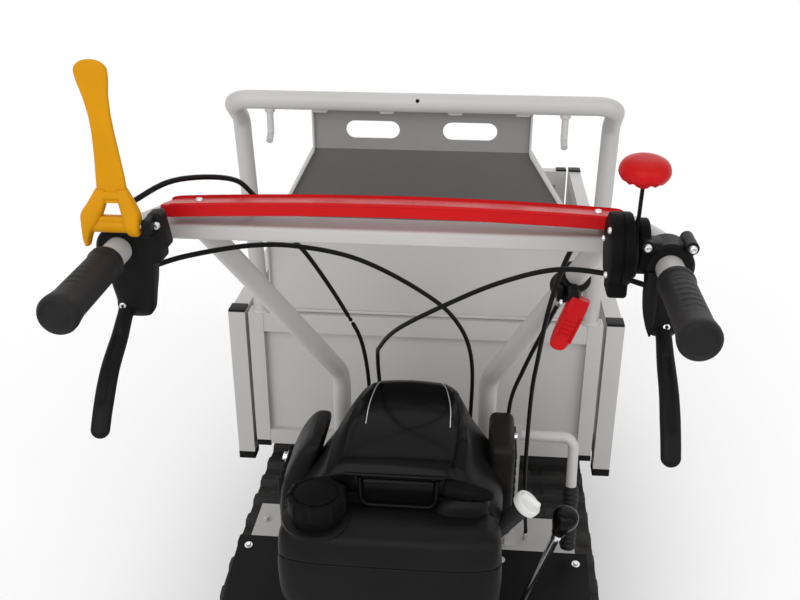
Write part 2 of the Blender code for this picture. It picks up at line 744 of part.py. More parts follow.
def make_track_frame(name, side):
    """Beam inside the belt with a hanger for each roller and a bore for the idler."""
    low, high = BEAM_X - BEAM_WIDTH / 2, BEAM_X + BEAM_WIDTH / 2
    beam = mirrored_box("beam", side, (low, BEAM_REAR, TRACK_RADIUS - BEAM_DEPTH / 2),
                        (high, IDLER_Y + BEAM_DEPTH / 2, BEAM_TOP))
    hangers, bores = [], []
    for y, z in [(station, ROLLER_Z) for station in ROLLER_STATIONS] + [(IDLER_Y, TRACK_RADIUS)]:
        if z < TRACK_RADIUS:
            hangers.append(mirrored_box("hanger", side, (low + 0.002, y - 2 * AXLE, z - 1.8 * AXLE),
                                        (high - 0.002, y + 2 * AXLE, TRACK_RADIUS)))
        bores.append(rod("bore", (side * (low - 0.01), y, z), (side * (high + 0.01), y, z), AXLE + CLEAR))
    return finish(cut(weld(beam, *hangers), *bores), name + "_track_frame", LIGHT_GREY, 0.5)


# Chassis

CHASSIS_INNER = CHASSIS_X - CHASSIS_WIDTH / 2
CHASSIS_OUTER = CHASSIS_X + CHASSIS_WIDTH / 2
CHASSIS_TOP = CHASSIS_BOTTOM + CHASSIS_DEPTH
DECK_BOTTOM = DECK_TOP - DECK_THICK
GEARBOX_HALF = CHASSIS_INNER - RUN
REST_TOP = LONGERON_BOTTOM - CLEAR
LATCH_FACE = RAIL_INSET - 3 * RUN
LATCH_Y = LATCH_FACE - LATCH_LEAD
LATCH_Z = REST_TOP - 0.020


def make_chassis():
    into = 0.006
    body = box("deck", (-DECK_HALF, DECK_REAR, DECK_BOTTOM), (DECK_HALF, DECK_FRONT, DECK_TOP))
    pieces = [box("ears", (-EAR_HALF, EAR_REAR, DECK_BOTTOM), (EAR_HALF, EAR_FRONT, DECK_TOP))]
    lug_inner, lug_outer = CHASSIS_OUTER - 0.005, LONGERON_X - LONGERON_WIDTH / 2 - 0.006
    cutters = []
    for _, side in SIDES:
        pieces.append(mirrored_box("rail", side, (CHASSIS_INNER, CHASSIS_REAR, CHASSIS_BOTTOM),
                                   (CHASSIS_OUTER, HINGE_Y + 0.010, CHASSIS_TOP)))
        for y in (CHASSIS_REAR + 0.002, EAR_FRONT - 0.022):
            pieces.append(mirrored_box("leg", side, (CHASSIS_INNER + 0.007, y, CHASSIS_TOP - into),
                                       (CHASSIS_OUTER - 0.005, y + 0.030, DECK_BOTTOM + into / 2)))
        pieces.append(mirrored_box("rest_leg", side,
                                   (CHASSIS_INNER + 0.003, REST_Y - 0.015, CHASSIS_TOP - into),
                                   (CHASSIS_OUTER - 0.003, REST_Y + 0.015, REST_TOP - REST_DEPTH + into)))
        pieces.append(mirrored_box("hinge_leg", side, (lug_inner, HINGE_Y - 0.018, CHASSIS_BOTTOM + 0.002),
                                   (lug_outer, HINGE_Y + 0.018, HINGE_Z)))
        pieces.append(rod("hinge_eye", (side * lug_inner, HINGE_Y, HINGE_Z),
                          (side * lug_outer, HINGE_Y, HINGE_Z), HINGE_RADIUS))
        cutters.append(rod("hinge_bore", (side * (lug_inner - 0.01), HINGE_Y, HINGE_Z),
                           (side * (lug_outer + 0.01), HINGE_Y, HINGE_Z),
                           SHAFT_RADIUS + CLEAR))
    pieces.append(box("bed_rest", (-LONGERON_X - 0.015, REST_Y - REST_LENGTH / 2, REST_TOP - REST_DEPTH),
                      (LONGERON_X + 0.015, REST_Y + REST_LENGTH / 2, REST_TOP)))
    reach = BEAM_X - BEAM_WIDTH / 2 - CLEAR
    cross_z = CHASSIS_BOTTOM + 0.004
    for y in CROSS_STATIONS:
        pieces.append(rod("cross_tube", (-reach, y, cross_z), (reach, y, cross_z), CROSS_TUBE))
    tab_low, tab_high = SHIFT_FOOT[1] - 0.030, SHIFT_FOOT[1] + 0.030
    pieces.append(box("shift_web", (DECK_HALF - 0.012, tab_low, SHIFT_SEAT - 0.006),
                      (DECK_HALF - 0.002, tab_high, DECK_BOTTOM + into / 2)))
    pieces.append(box("shift_tab", (DECK_HALF - 0.010, tab_low + 0.001, SHIFT_SEAT - 0.0055),
                      (SHIFT_FOOT[0] + 0.020, tab_high - 0.001, SHIFT_SEAT)))
    half_post = LOCK_POST / 2
    pieces.append(box("lock_post", (LOCK_X - half_post, LOCK_Y - half_post, DECK_TOP - into),
                      (LOCK_X + half_post, LOCK_Y + half_post, LOCK_Z + half_post + 0.004)))
    pieces.append(rod("lock_pin", (LOCK_X, LOCK_Y, LOCK_Z), (LOCK_X + half_post + 0.014, LOCK_Y, LOCK_Z),
                      LOCK_TUBE * 0.5))
    pieces.append(rod("tension_pin", (*TENSION_PIVOT, PULLEY_BASE),
                      (*TENSION_PIVOT, DECK_BOTTOM + into / 2), TENSION_PIN))
    pieces.append(box("latch_lug", (LATCH_X + 0.011, LATCH_Y - 0.008, LATCH_Z - 0.008),
                      (LATCH_X + 0.023, REST_Y - REST_LENGTH / 2 + into, LATCH_Z + 0.008)))
    pieces.append(rod("latch_pin", (LATCH_X - 0.008, LATCH_Y, LATCH_Z),
                      (LATCH_X + 0.015, LATCH_Y, LATCH_Z), LEVER_PIN))
    cutters.append(rod("crank_hole", (ENGINE_X, ENGINE_Y, DECK_BOTTOM - 0.02),
                       (ENGINE_X, ENGINE_Y, DECK_TOP + 0.02), 2 * CRANK))
    return finish(cut(weld(body, *pieces), *cutters), "chassis_frame", LIGHT_GREY, 0.5)


def make_tip_shaft():
    made = rod("shaft", (-SHAFT_HALF, HINGE_Y, HINGE_Z), (SHAFT_HALF, HINGE_Y, HINGE_Z), SHAFT_RADIUS)
    return finish(made, "tip_shaft", STEEL, 0.35, 0.9)


def make_guard(name, side):
    """Black sheet over the rear of a track: it slopes back from the deck ear, then turns down in a lip."""
    top = DECK_TOP
    thick = SHEET
    start = EAR_REAR - CLEAR
    upper = [(start, top), (GUARD_REAR, top - GUARD_DROP),
             (GUARD_REAR - 0.02, top - GUARD_DROP - GUARD_LIP)]
    lower = [(y, z - thick) for y, z in (upper[0], upper[1])] + [(upper[2][0] - thick, upper[2][1])]
    outline = [*upper[:2], (upper[2][0] - 2 * thick, upper[2][1]), (upper[2][0] - thick, upper[2][1]),
               lower[1], lower[0]]
    outline[1] = (GUARD_REAR - thick, top - GUARD_DROP)
    xs = sorted((side * (DECK_HALF + CLEAR), side * GUARD_OUTER))
    made = plate("guard", [outline], xs, "X")
    if side > 0:
        x, y = SHIFT_FOOT
        made = cut(made, box("shift_slot", (x - 0.012, y - 0.026, top - 0.10),
                             (x + 0.022, y + 0.024, top + 0.02)))
    return finish(made, name + "_track_guard", BLACK_PLASTIC, 0.25)


# Drive

def make_gearbox():
    """Housing between the chassis rails with an output boss each side and the input bore on top."""
    body = rounded(box("gearbox", (-GEARBOX_HALF, SPROCKET_Y - GEARBOX_DEPTH / 2, GEARBOX_BOTTOM),
                       (GEARBOX_HALF, SPROCKET_Y + GEARBOX_DEPTH / 2, GEARBOX_TOP)), 0.012)
    reach = DECK_HALF - 0.006
    boss = rod("boss", (-reach, SPROCKET_Y, TRACK_RADIUS), (reach, SPROCKET_Y, TRACK_RADIUS), OUTPUT_BOSS)
    cutters = [rod("output", (side * GEARBOX_HALF, SPROCKET_Y, TRACK_RADIUS),
                   (side * (reach + 0.02), SPROCKET_Y, TRACK_RADIUS),
                   OUTPUT_SHAFT + RUN) for _, side in SIDES]
    cutters.append(rod("input", (ENGINE_X, GEAR_Y, GEARBOX_TOP - 0.030),
                       (ENGINE_X, GEAR_Y, GEARBOX_TOP + 0.02), INPUT_SHAFT + RUN))
    return finish(cut(weld(body, boss), *cutters), "gearbox_housing", (0.30, 0.30, 0.31, 1.0), 0.5, 0.7)


def pulley_profile(groove, low, high, shaft, shaft_end):
    """Grooved wheel with its shaft, up or down, as (radius, height) points from the top."""
    rim = groove + PULLEY_FLANGE
    lip = PULLEY_THICK * 0.2
    wheel = [(rim, high), (rim, high - lip), (groove, high - 1.4 * lip), (groove, low + 1.4 * lip),
             (rim, low + lip), (rim, low)]
    if shaft_end > high:
        return [(0.0, shaft_end), (shaft, shaft_end), (shaft, high), *wheel, (0.0, low)]
    return [(0.0, high), *wheel, (shaft, low), (shaft, shaft_end), (0.0, shaft_end)]


def make_pulleys():
    low, high = PULLEY_BASE, PULLEY_BASE + PULLEY_THICK
    drive = turned("drive", pulley_profile(ENGINE_PULLEY, low, high, CRANK, DECK_TOP + 0.030),
                   (ENGINE_X, ENGINE_Y, 0), (0, 0, 1))
    finish(drive, "drive_pulley", STEEL, 0.45, 0.8)
    pivot("drive_pulley_axis", (ENGINE_X, ENGINE_Y, low), drive)
    driven = turned("driven", pulley_profile(GEAR_PULLEY, low, high, INPUT_SHAFT, GEARBOX_TOP - 0.025),
                    (ENGINE_X, GEAR_Y, 0), (0, 0, 1))
    finish(driven, "gearbox_pulley", STEEL, 0.45, 0.8)
    pivot("gearbox_pulley_axis", (ENGINE_X, GEAR_Y, low), driven)


def around_pulleys(offset):
    """The loop round both pulleys at an offset from their grooves: two arcs and two straight runs."""
    first, second = ENGINE_PULLEY + offset, GEAR_PULLEY + offset
    lean = math.asin((second - first) / (GEAR_Y - ENGINE_Y))
    near = arc((ENGINE_X, ENGINE_Y), first, math.pi + lean, 2 * math.pi - lean, 12)
    far = arc((ENGINE_X, GEAR_Y), second, -lean, math.pi + lean, 12)
    return near + far


def make_drive_belt():
    middle = PULLEY_BASE + PULLEY_THICK / 2
    half = PULLEY_THICK * 0.2
    outlines = [around_pulleys(BELT_RIDE + BELT_SECTION), around_pulleys(BELT_RIDE)]
    return finish(plate("belt", outlines, (middle - half, middle + half), "Z"), "drive_belt", RUBBER, 0.7)


def make_tensioner():
    """Arm on the deck pin with an idler wheel that presses the belt when the clutch lever is closed."""
    middle = PULLEY_BASE + PULLEY_THICK / 2
    half = 0.003
    low, high = middle - half, middle + half
    eye = rod("eye", (*TENSION_PIVOT, low), (*TENSION_PIVOT, high), TENSION_EYE)
    arm = tube("arm", [(*TENSION_PIVOT, middle), (*TENSION_WHEEL, middle)], half * 0.9)
    wheel = rod("wheel", (*TENSION_WHEEL, middle - 2 * half), (*TENSION_WHEEL, middle + 2 * half),
                TENSION_RADIUS, 20)
    bore = rod("bore", (*TENSION_PIVOT, low - 0.01), (*TENSION_PIVOT, high + 0.01), TENSION_PIN + CLEAR)
    made = finish(cut(weld(eye, solid_mesh(arm), wheel), bore), "tensioner_arm", STEEL, 0.45, 0.8)
    pivot("tensioner_axis", (*TENSION_PIVOT, middle), made)


# Engine

def make_engine():
    left, right = ENGINE_X - BLOCK_HALF_X, ENGINE_X + BLOCK_HALF_X
    block = rounded(box("block", (left, BLOCK_REAR, DECK_TOP + CLEAR), (right, BLOCK_FRONT, BLOCK_TOP)),
                    0.010)
    port = (SHROUD_REAR + SHROUD_FRONT) / 2, BLOCK_TOP - PORT_DROP
    reach = SHROUD_HALF_X
    intake_and_exhaust = rod("ports", (ENGINE_X - reach, *port), (ENGINE_X + reach, *port), PORT)
    weld(block, rod("oil_tube", OIL_FOOT, OIL_TOP, OIL_TUBE), intake_and_exhaust)
    cut(block, rod("crank_bore", (ENGINE_X, ENGINE_Y, DECK_TOP - 0.02),
                   (ENGINE_X, ENGINE_Y, DECK_TOP + 0.035), CRANK + RUN))
    cut(block, box("tank_room", (TANK_LEFT - 0.1, TANK_REAR - 0.1, TANK_BOTTOM - CLEAR),
                   (TANK_RIGHT + CLEAR, SHROUD_REAR, BLOCK_TOP + 0.1)))
    finish(block, "engine_block", (0.03, 0.03, 0.032, 1.0), 0.45, 0.3)

    seat = BLOCK_TOP + CLEAR
    shroud = rounded(box("shroud", (ENGINE_X - SHROUD_HALF_X, SHROUD_REAR + CLEAR, seat),
                         (ENGINE_X + SHROUD_HALF_X, SHROUD_FRONT, SHROUD_TOP), SHROUD_TAPER), 0.022, 3)
    ledge = box("ledge", (STARTER_X - STARTER_WIDTH / 2, STARTER_Y - 0.014, TANK_TOP + CLEAR),
                (STARTER_X + STARTER_WIDTH / 2 - 0.008, SHROUD_REAR + 0.060, STARTER_SEAT))
    finish(weld(shroud, ledge), "engine_shroud", BLACK_PLASTIC, 0.4)

    tank = rounded(box("tank", (TANK_LEFT, TANK_REAR, TANK_BOTTOM),
                       (TANK_RIGHT, SHROUD_REAR - CLEAR, TANK_TOP)), 0.020, 3)
    finish(tank, "fuel_tank", BLACK_PLASTIC, 0.3)

    base = TANK_TOP + CLEAR
    rim = CAP_RADIUS - 0.005
    cap = turned("cap", [(0.0, CAP_HEIGHT), (rim, CAP_HEIGHT), (CAP_RADIUS, CAP_HEIGHT - 0.005),
                         (CAP_RADIUS, 0.006), (rim, 0.0), (0.0, 0.0)],
                 (CAP_X, CAP_Y, base), (0, 0, 1))
    finish(cap, "fuel_cap", BLACK_PLASTIC, 0.45)
    pivot("fuel_cap_axis", (CAP_X, CAP_Y, base), cap)

    grip = rounded(box("grip", (STARTER_X - STARTER_WIDTH / 2, STARTER_Y - 0.012, STARTER_SEAT + CLEAR),
                       (STARTER_X + STARTER_WIDTH / 2, STARTER_Y + 0.012,
                        STARTER_SEAT + STARTER_HEIGHT)), 0.006)
    finish(grip, "starter_grip", BLACK_PLASTIC, 0.5)
    pivot("starter_axis", (STARTER_X, STARTER_Y, STARTER_SEAT), grip)

    lean = (Vector(OIL_TOP) - Vector(OIL_FOOT)).normalized()
    oil_base = Vector(OIL_TOP) + lean * CLEAR
    rim = OIL_CAP - 0.004
    oil = turned("oil", [(0.0, OIL_CAP_HEIGHT), (rim, OIL_CAP_HEIGHT), (OIL_CAP, OIL_CAP_HEIGHT - 0.006),
                         (OIL_CAP, 0.004), (rim, 0.0), (0.0, 0.0)],
                 oil_base, lean)
    finish(oil, "oil_cap", (0.55, 0.55, 0.54, 1.0), 0.5)
    pivot("oil_cap_axis", oil_base, oil)

    side_low, side_high = BLOCK_TOP - SIDE_DROP, BLOCK_TOP + SIDE_RISE
    left = ENGINE_X - SHROUD_HALF_X - CLEAR
    cover = rounded(box("cover", (left - FILTER_DEPTH, SHROUD_REAR + 0.040, side_low),
                        (left, SHROUD_FRONT - 0.020, side_high)), 0.012)
    finish(cover, "air_filter_cover", BLACK_PLASTIC, 0.45)
    right = ENGINE_X + SHROUD_HALF_X + CLEAR
    muffler = rounded(box("muffler", (right, SHROUD_REAR + 0.060, side_low),
                          (right + MUFFLER_DEPTH, SHROUD_FRONT - 0.010, side_high)), 0.010)
    finish(muffler, "muffler", (0.12, 0.12, 0.12, 1.0), 0.5, 0.6)


# Handlebar and controls

BAR_KNEE_POINT = Vector((BAR_FOOT_X, BAR_FOOT_Y, RAIL_TOP + BAR_KNEE))
BAR_TOP_POINT = Vector((BAR_TOP_X, BAR_TOP_Y, RAIL_TOP + BAR_TOP))
BAR_FLARE_POINT = Vector((GRIP_END_X, BAR_FLARE_Y, RAIL_TOP + BAR_TOP))
BAR_END_POINT = Vector((GRIP_END_X, -GRIP_REACH, RAIL_TOP + GRIP_HEIGHT))
BAR_LINE = (BAR_END_POINT - BAR_FLARE_POINT).normalized()
GRIP_ROOT = BAR_END_POINT - BAR_LINE * GRIP_LENGTH
GRIP_RIM = BAR_TUBE + GRIP_WALL + 0.0005


def on_side(point, side):
    return Vector((side * point[0], point[1], point[2]))


def bar_path(side, stop=0.004):
    foot = (BAR_FOOT_X, BAR_FOOT_Y, DECK_TOP + CLEAR)
    corners = [foot, BAR_KNEE_POINT, BAR_TOP_POINT, BAR_FLARE_POINT, BAR_END_POINT - BAR_LINE * stop]
    return [on_side(p, side) for p in bent(corners, BAR_BEND, 5)]


def make_handlebar():
    tubes = [solid_mesh(tube("bar", bar_path(side), BAR_TUBE, 3)) for _, side in SIDES]
    half = GRIP_END_X - BAR_TUBE + 0.002
    plate_box = box("cross_plate", (-half, PLATE_REAR, RAIL_TOP + PLATE_BOTTOM),
                    (half, PLATE_FRONT, RAIL_TOP + PLATE_BOTTOM + PLATE_DEPTH))
    feet = [box("foot", (side * BAR_FOOT_X - 0.022, BAR_FOOT_Y - 0.022, DECK_TOP + CLEAR),
                (side * BAR_FOOT_X + 0.022, BAR_FOOT_Y + 0.022, DECK_TOP + 0.006)) for _, side in SIDES]
    return finish(weld(plate_box, *tubes, *feet), "handlebar_frame", LIGHT_GREY, 0.4)


def make_console():
    """Long shallow bar whose underside and top rise to the middle."""
    count = 10
    xs = [CONSOLE_HALF * (2 * i / count - 1) for i in range(count + 1)]
    rise = [CONSOLE_ARCH * (1 - (x / CONSOLE_HALF) ** 2) for x in xs]
    base = RAIL_TOP + BAR_TOP + BAR_TUBE + CLEAR
    lower = [(x, base + r) for x, r in zip(xs, rise)]
    upper = [(x * 0.985, base + CONSOLE_HEIGHT + r) for x, r in zip(xs, rise)]
    return finish(plate("console", [lower + upper[::-1]], (CONSOLE_REAR, CONSOLE_FRONT), "Y"), "console",
                  RED, 0.25)


def make_grip(name, side):
    bore = BAR_TUBE + CLEAR
    outer = BAR_TUBE + GRIP_WALL
    flange = GRIP_RIM + GRIP_CHAMFER
    profile = [(0.0, GRIP_LENGTH), (GRIP_RIM, GRIP_LENGTH), (flange, GRIP_LENGTH - GRIP_CHAMFER),
               (flange, GRIP_LENGTH - GRIP_FLANGE),
               (outer, GRIP_LENGTH - GRIP_FLANGE - 0.001), (outer, 0.0), (bore, 0.0),
               (bore, GRIP_LENGTH - 0.0035), (0.0, GRIP_LENGTH - 0.0035)]
    return finish(turned("grip", profile, on_side(GRIP_ROOT, side), on_side(BAR_LINE, side), 20),
                  name + "_grip", RUBBER, 0.65)


def bar_bore(side):
    return rod("bar_bore", on_side(BAR_FLARE_POINT, side), on_side(BAR_END_POINT, side),
               BAR_TUBE + CLEAR + 0.0002, 20)


def make_bracket(name, side):
    """Clamp block round the handlebar with a fork for the steering lever; the left one has the clutch pin."""
    low, high = RAIL_TOP + BRACKET_BOTTOM, RAIL_TOP + BRACKET_TOP
    block = rounded(mirrored_box("block", side, (BRACKET_INNER, BRACKET_REAR, low),
                                 (BRACKET_OUTER, BRACKET_FRONT, high)), 0.004)
    pivot_z = RAIL_TOP + LEVER_PIVOT_Z
    middle = (BRACKET_INNER + BRACKET_OUTER) / 2
    pieces = []
    for start, stop in ((BRACKET_INNER + 0.004, middle - LEVER_EYE - RUN),
                        (middle + LEVER_EYE + RUN, BRACKET_OUTER - 0.004)):
        pieces.append(mirrored_box("fork", side, (start, LEVER_PIVOT_Y - 0.011, pivot_z - 0.010),
                                   (stop, LEVER_PIVOT_Y + 0.011, low + 0.004)))
    pieces.append(rod("lever_pin", (side * (BRACKET_INNER + 0.006), LEVER_PIVOT_Y, pivot_z),
                      (side * (BRACKET_OUTER - 0.006), LEVER_PIVOT_Y, pivot_z), LEVER_PIN))
    if side < 0:
        clutch_z = RAIL_TOP + CLUTCH_Z
        arm = -BRACKET_INNER - CLUTCH_LAP
        pieces.append(rod("clutch_pin", (arm - CLUTCH_BARREL - 0.002, CLUTCH_Y, clutch_z),
                          (arm + CLUTCH_ARM / 2, CLUTCH_Y, clutch_z), CLUTCH_PIN))
        pieces.append(box("clutch_arm", (arm, CLUTCH_Y - 0.007, clutch_z - 0.014),
                          (arm + CLUTCH_ARM, BRACKET_REAR + 0.010, clutch_z + 0.007)))
    return finish(cut(weld(block, *pieces), bar_bore(side)), name + "_lever_bracket", BLACK_PLASTIC, 0.4)


def make_steering_lever(name, side):
    middle = (BRACKET_INNER + BRACKET_OUTER) / 2
    pivot_z = RAIL_TOP + LEVER_PIVOT_Z
    eye = rod("eye", (side * (middle - LEVER_EYE), LEVER_PIVOT_Y, pivot_z),
              (side * (middle + LEVER_EYE), LEVER_PIVOT_Y, pivot_z), LEVER_EYE)
    route = ((-0.004, -0.002), (-0.037, -0.025), (-0.072, -0.045), (-0.098, -0.070), (-0.118, -0.096))
    blade = tube("blade", [on_side((middle, LEVER_PIVOT_Y + y, pivot_z + z), side) for y, z in route],
                 LEVER_BLADE)
    bore = rod("bore", (side * (middle - 0.02), LEVER_PIVOT_Y, pivot_z),
               (side * (middle + 0.02), LEVER_PIVOT_Y, pivot_z), LEVER_PIN + CLEAR)
    made = finish(cut(weld(eye, solid_mesh(blade)), bore), name + "_steering_lever", BLACK_PLASTIC, 0.35)
    pivot(name + "_lever_axis", (side * middle, LEVER_PIVOT_Y, pivot_z), made)


def make_clutch_lever():
    """Upright paddle on a barrel that turns on the left bracket's pin."""
    clutch_z = RAIL_TOP + CLUTCH_Z
    high = -BRACKET_INNER - CLUTCH_LAP - 0.001
    low = high - CLUTCH_BARREL
    barrel = rod("barrel", (low, CLUTCH_Y, clutch_z), (high, CLUTCH_Y, clutch_z), CLUTCH_EYE)
    top = RAIL_TOP + CLUTCH_TOP
    middle = (low + high) / 2
    outline = [(middle - 0.014, clutch_z), (middle + 0.0115, clutch_z), (middle + 0.012, clutch_z + 0.05),
               (middle + 0.0165, top - 0.012), (middle + 0.010, top), (middle - 0.009, top),
               (middle - 0.0155, top - 0.012), (middle - 0.013, clutch_z + 0.05)]
    paddle = plate("paddle", [outline], (CLUTCH_Y - CLUTCH_THICK / 2, CLUTCH_Y + CLUTCH_THICK / 2), "Y")
    bore = rod("bore", (low - 0.01, CLUTCH_Y, clutch_z), (high + 0.01, CLUTCH_Y, clutch_z),
               CLUTCH_PIN + CLEAR)
    made = finish(cut(weld(barrel, paddle), bore), "clutch_lever", AMBER, 0.35)
    pivot("clutch_axis", (middle, CLUTCH_Y, clutch_z), made)


def make_throttle():
    centre_z = RAIL_TOP + THROTTLE_Z
    housing = rod("housing", (THROTTLE_INNER, THROTTLE_Y, centre_z),
                  (THROTTLE_OUTER, THROTTLE_Y, centre_z), THROTTLE_RADIUS, 28)
    finish(housing, "throttle_housing", BLACK_PLASTIC, 0.45)
    start, stop = THROTTLE_OUTER + CLEAR, BRACKET_INNER - RUN
    hub = rod("hub", (start, THROTTLE_Y, centre_z), (stop, THROTTLE_Y, centre_z), THROTTLE_HUB, 20)
    knob_base = Vector((KNOB_X, KNOB_Y, RAIL_TOP + KNOB_Z))
    elbow = Vector((KNOB_X, STALK_ELBOW_Y, RAIL_TOP + STALK_ELBOW_Z))
    stalk = tube("stalk", [(KNOB_X, THROTTLE_Y, centre_z + THROTTLE_HUB / 2), elbow, knob_base], STALK)
    lever = finish(weld(hub, solid_mesh(stalk)), "throttle_lever", BLACK_PLASTIC, 0.4)
    rim = KNOB_RADIUS
    profile = [(0.0, KNOB_HEIGHT), (rim * 0.45, KNOB_HEIGHT * 0.95), (rim * 0.82, KNOB_HEIGHT * 0.76),
               (rim, KNOB_HEIGHT * 0.48),
               (rim * 0.9, KNOB_HEIGHT * 0.25), (rim * 0.4, KNOB_HEIGHT * 0.12), (rim * 0.32, 0.0),
               (0.0, 0.0)]
    lean = (knob_base - elbow).normalized()
    knob = finish(turned("knob", profile, knob_base + lean * CLEAR, lean), "throttle_knob", RED, 0.3)
    pivot("throttle_axis", (THROTTLE_OUTER, THROTTLE_Y, centre_z), lever, knob)


def make_release():
    """Clamp on the right handlebar tube with a trigger that hangs under it."""
    line = (BAR_TOP_POINT - BAR_KNEE_POINT).normalized()
    centre = BAR_KNEE_POINT.lerp(BAR_TOP_POINT, CLAMP_SHARE)
    half = line * CLAMP_LENGTH / 2
    clamp = rod("clamp", centre - half, centre + half, BAR_TUBE + CLAMP_WALL, 20)
    top = RAIL_TOP + TRIGGER_TOP
    half_width = TRIGGER_WIDTH / 2
    lug = box("lug", (TRIGGER_X - half_width + 0.006, TRIGGER_Y - 0.006, top - 0.006),
              (TRIGGER_X + half_width - 0.006, centre.y, top + 0.016))
    pin = rod("pin", (TRIGGER_X - half_width, TRIGGER_Y, top), (TRIGGER_X + half_width, TRIGGER_Y, top),
              LEVER_PIN)
    bore = rod("bore", centre - 3 * half, centre + 3 * half, BAR_TUBE + CLEAR + 0.0002, 20)
    finish(cut(weld(clamp, lug, pin), bore), "release_bracket", BLACK_PLASTIC, 0.4)
    body = box("trigger", (TRIGGER_X - half_width, TRIGGER_Y - 0.010, top - TRIGGER_LENGTH),
               (TRIGGER_X + half_width, TRIGGER_Y + 0.008, top + 0.008))
    room = box("room", (TRIGGER_X - half_width + 0.006 - RUN, TRIGGER_Y - 0.02, top - 0.016),
               (TRIGGER_X + half_width - 0.006 + RUN, TRIGGER_Y + 0.02, top + 0.02))
    pin_bore = rod("pin_bore", (TRIGGER_X - 0.03, TRIGGER_Y, top), (TRIGGER_X + 0.03, TRIGGER_Y, top),
                   LEVER_PIN + CLEAR)
    trigger = finish(cut(body, room, pin_bore), "release_trigger", RED, 0.35)
    pivot("trigger_axis", (TRIGGER_X, TRIGGER_Y, top), trigger)


def make_latch():
    """Sprung arm on the chassis that stands behind the bottom rail of the bed's rear frame."""
    low, high = LATCH_X - 0.007, LATCH_X + 0.010
    eye = rod("eye", (low, LATCH_Y, LATCH_Z), (high, LATCH_Y, LATCH_Z), 2 * LEVER_PIN)
    arm = box("arm", (low, LATCH_Y - 2 * LEVER_PIN, LATCH_Z), (high, LATCH_FACE, LATCH_Z + LATCH_RISE))
    bore = rod("bore", (low - 0.01, LATCH_Y, LATCH_Z), (high + 0.01, LATCH_Y, LATCH_Z), LEVER_PIN + CLEAR)
    made = finish(cut(weld(eye, arm), bore), "tip_latch", STEEL, 0.4, 0.8)
    pivot("latch_axis", (LATCH_X, LATCH_Y, LATCH_Z), made)


def make_shift():
    foot = Vector((*SHIFT_FOOT, SHIFT_SEAT + CLEAR + SHIFT_BALL))
    lever = tube("shift", [foot, Vector(SHIFT_TOP)], SHIFT_ROD)
    round_side = [(max(r, 0.0), z) for r, z in arc((0.0, 0.0), SHIFT_BALL, math.pi / 2, -math.pi / 2, 6)]
    round_side[0] = (0.0, SHIFT_BALL)
    round_side[-1] = (0.0, -SHIFT_BALL)
    ball = turned("ball", round_side, foot, (0, 0, 1), 12)
    made = finish(weld(ball, solid_mesh(lever)), "shift_lever", STEEL, 0.2, 1.0)
    lean = (Vector(SHIFT_TOP) - foot).normalized()
    r, h = SHIFT_KNOB, SHIFT_KNOB_HEIGHT
    profile = [(0.0, h), (r * 0.6, h * 0.95), (r * 0.95, h * 0.78), (r, h * 0.6), (r * 0.8, h * 0.3),
               (r * 0.5, 0.0), (0.0, 0.0)]
    knob = finish(turned("knob", profile, Vector(SHIFT_TOP) + lean * CLEAR, lean, 20), "shift_knob",
                  BLACK_PLASTIC, 0.35)
    pivot("shift_axis", foot, made, knob)


def make_lock_lever():
    """J-shaped hand lever on the chassis post, with its own grip."""
    start = LOCK_X + LOCK_POST / 2 + CLEAR
    path = bent([(start, LOCK_Y, LOCK_Z), (LOCK_REACH, LOCK_Y, LOCK_Z),
                 (LOCK_REACH, LOCK_Y - LOCK_LEAN, LOCK_Z - LOCK_DROP)], 0.018, 5)
    lever = solid_mesh(tube("lock", path, LOCK_TUBE))
    bore = rod("bore", (start - 0.01, LOCK_Y, LOCK_Z), (start + 0.0145, LOCK_Y, LOCK_Z),
               LOCK_TUBE * 0.5 + CLEAR)
    made = finish(cut(lever, bore), "lock_lever", LIGHT_GREY, 0.4)
    down = (path[-1] - path[-2]).normalized()
    r, h = LOCK_GRIP, LOCK_GRIP_LENGTH
    grip = turned("grip", [(0.0, h), (r * 0.8, h), (r, h - 0.004), (r, 0.0), (0.0, 0.0)],
                  path[-1] + down * CLEAR, down, 16)
    finish(grip, "lock_grip", RUBBER, 0.6)
    pivot("lock_axis", (LOCK_X, LOCK_Y, LOCK_Z), made, grip)


def make_cables():
    routes = (("clutch_cable", CLUTCH_ROUTE), ("left_steering_cable", LEFT_ROUTE),
              ("right_steering_cable", RIGHT_ROUTE),
              ("throttle_cable", THROTTLE_ROUTE), ("release_cable", RELEASE_ROUTE))
    for name, route in routes:
        points = above_rail(route)
        finish(tube(name, [points[0], *smooth(points[1:-1]), points[-1]], CABLE), name, BLACK_PLASTIC, 0.5)


def make_barrow():
    make_rear_frame()
    gate = make_front_gate()
    pivot("gate_slide", (0.0, GATE_REAR, ROD_HEIGHT), gate)
    make_floor()
    make_hoop()
    make_headboard()
    make_chassis()
    make_tip_shaft()
    make_gearbox()
    make_pulleys()
    make_drive_belt()
    make_tensioner()
    make_engine()
    make_handlebar()
    make_console()
    make_clutch_lever()
    make_throttle()
    make_release()
    make_latch()
    make_shift()
    make_lock_lever()
    make_cables()
    idler = BELT_INNER - IDLER_GAP
    for name, side in SIDES:
        wall = make_side(name, side)
        pivot(name + "_side_slide", (side * SIDE_INNER, 0.0, ROD_HEIGHT), wall)
        make_track_belt(name, side)
        make_track_frame(name, side)
        make_sprocket(name, side)
        spool(name + "_front_idler", side, IDLER_Y, TRACK_RADIUS, idler, AXLE)
        for where, station in zip(("rear", "front"), ROLLER_STATIONS):
            spool(f"{name}_{where}_roller", side, station, ROLLER_Z, ROLLER, AXLE)
        make_guard(name, side)
        make_grip(name, side)
        make_bracket(name, side)
        make_steering_lever(name, side)


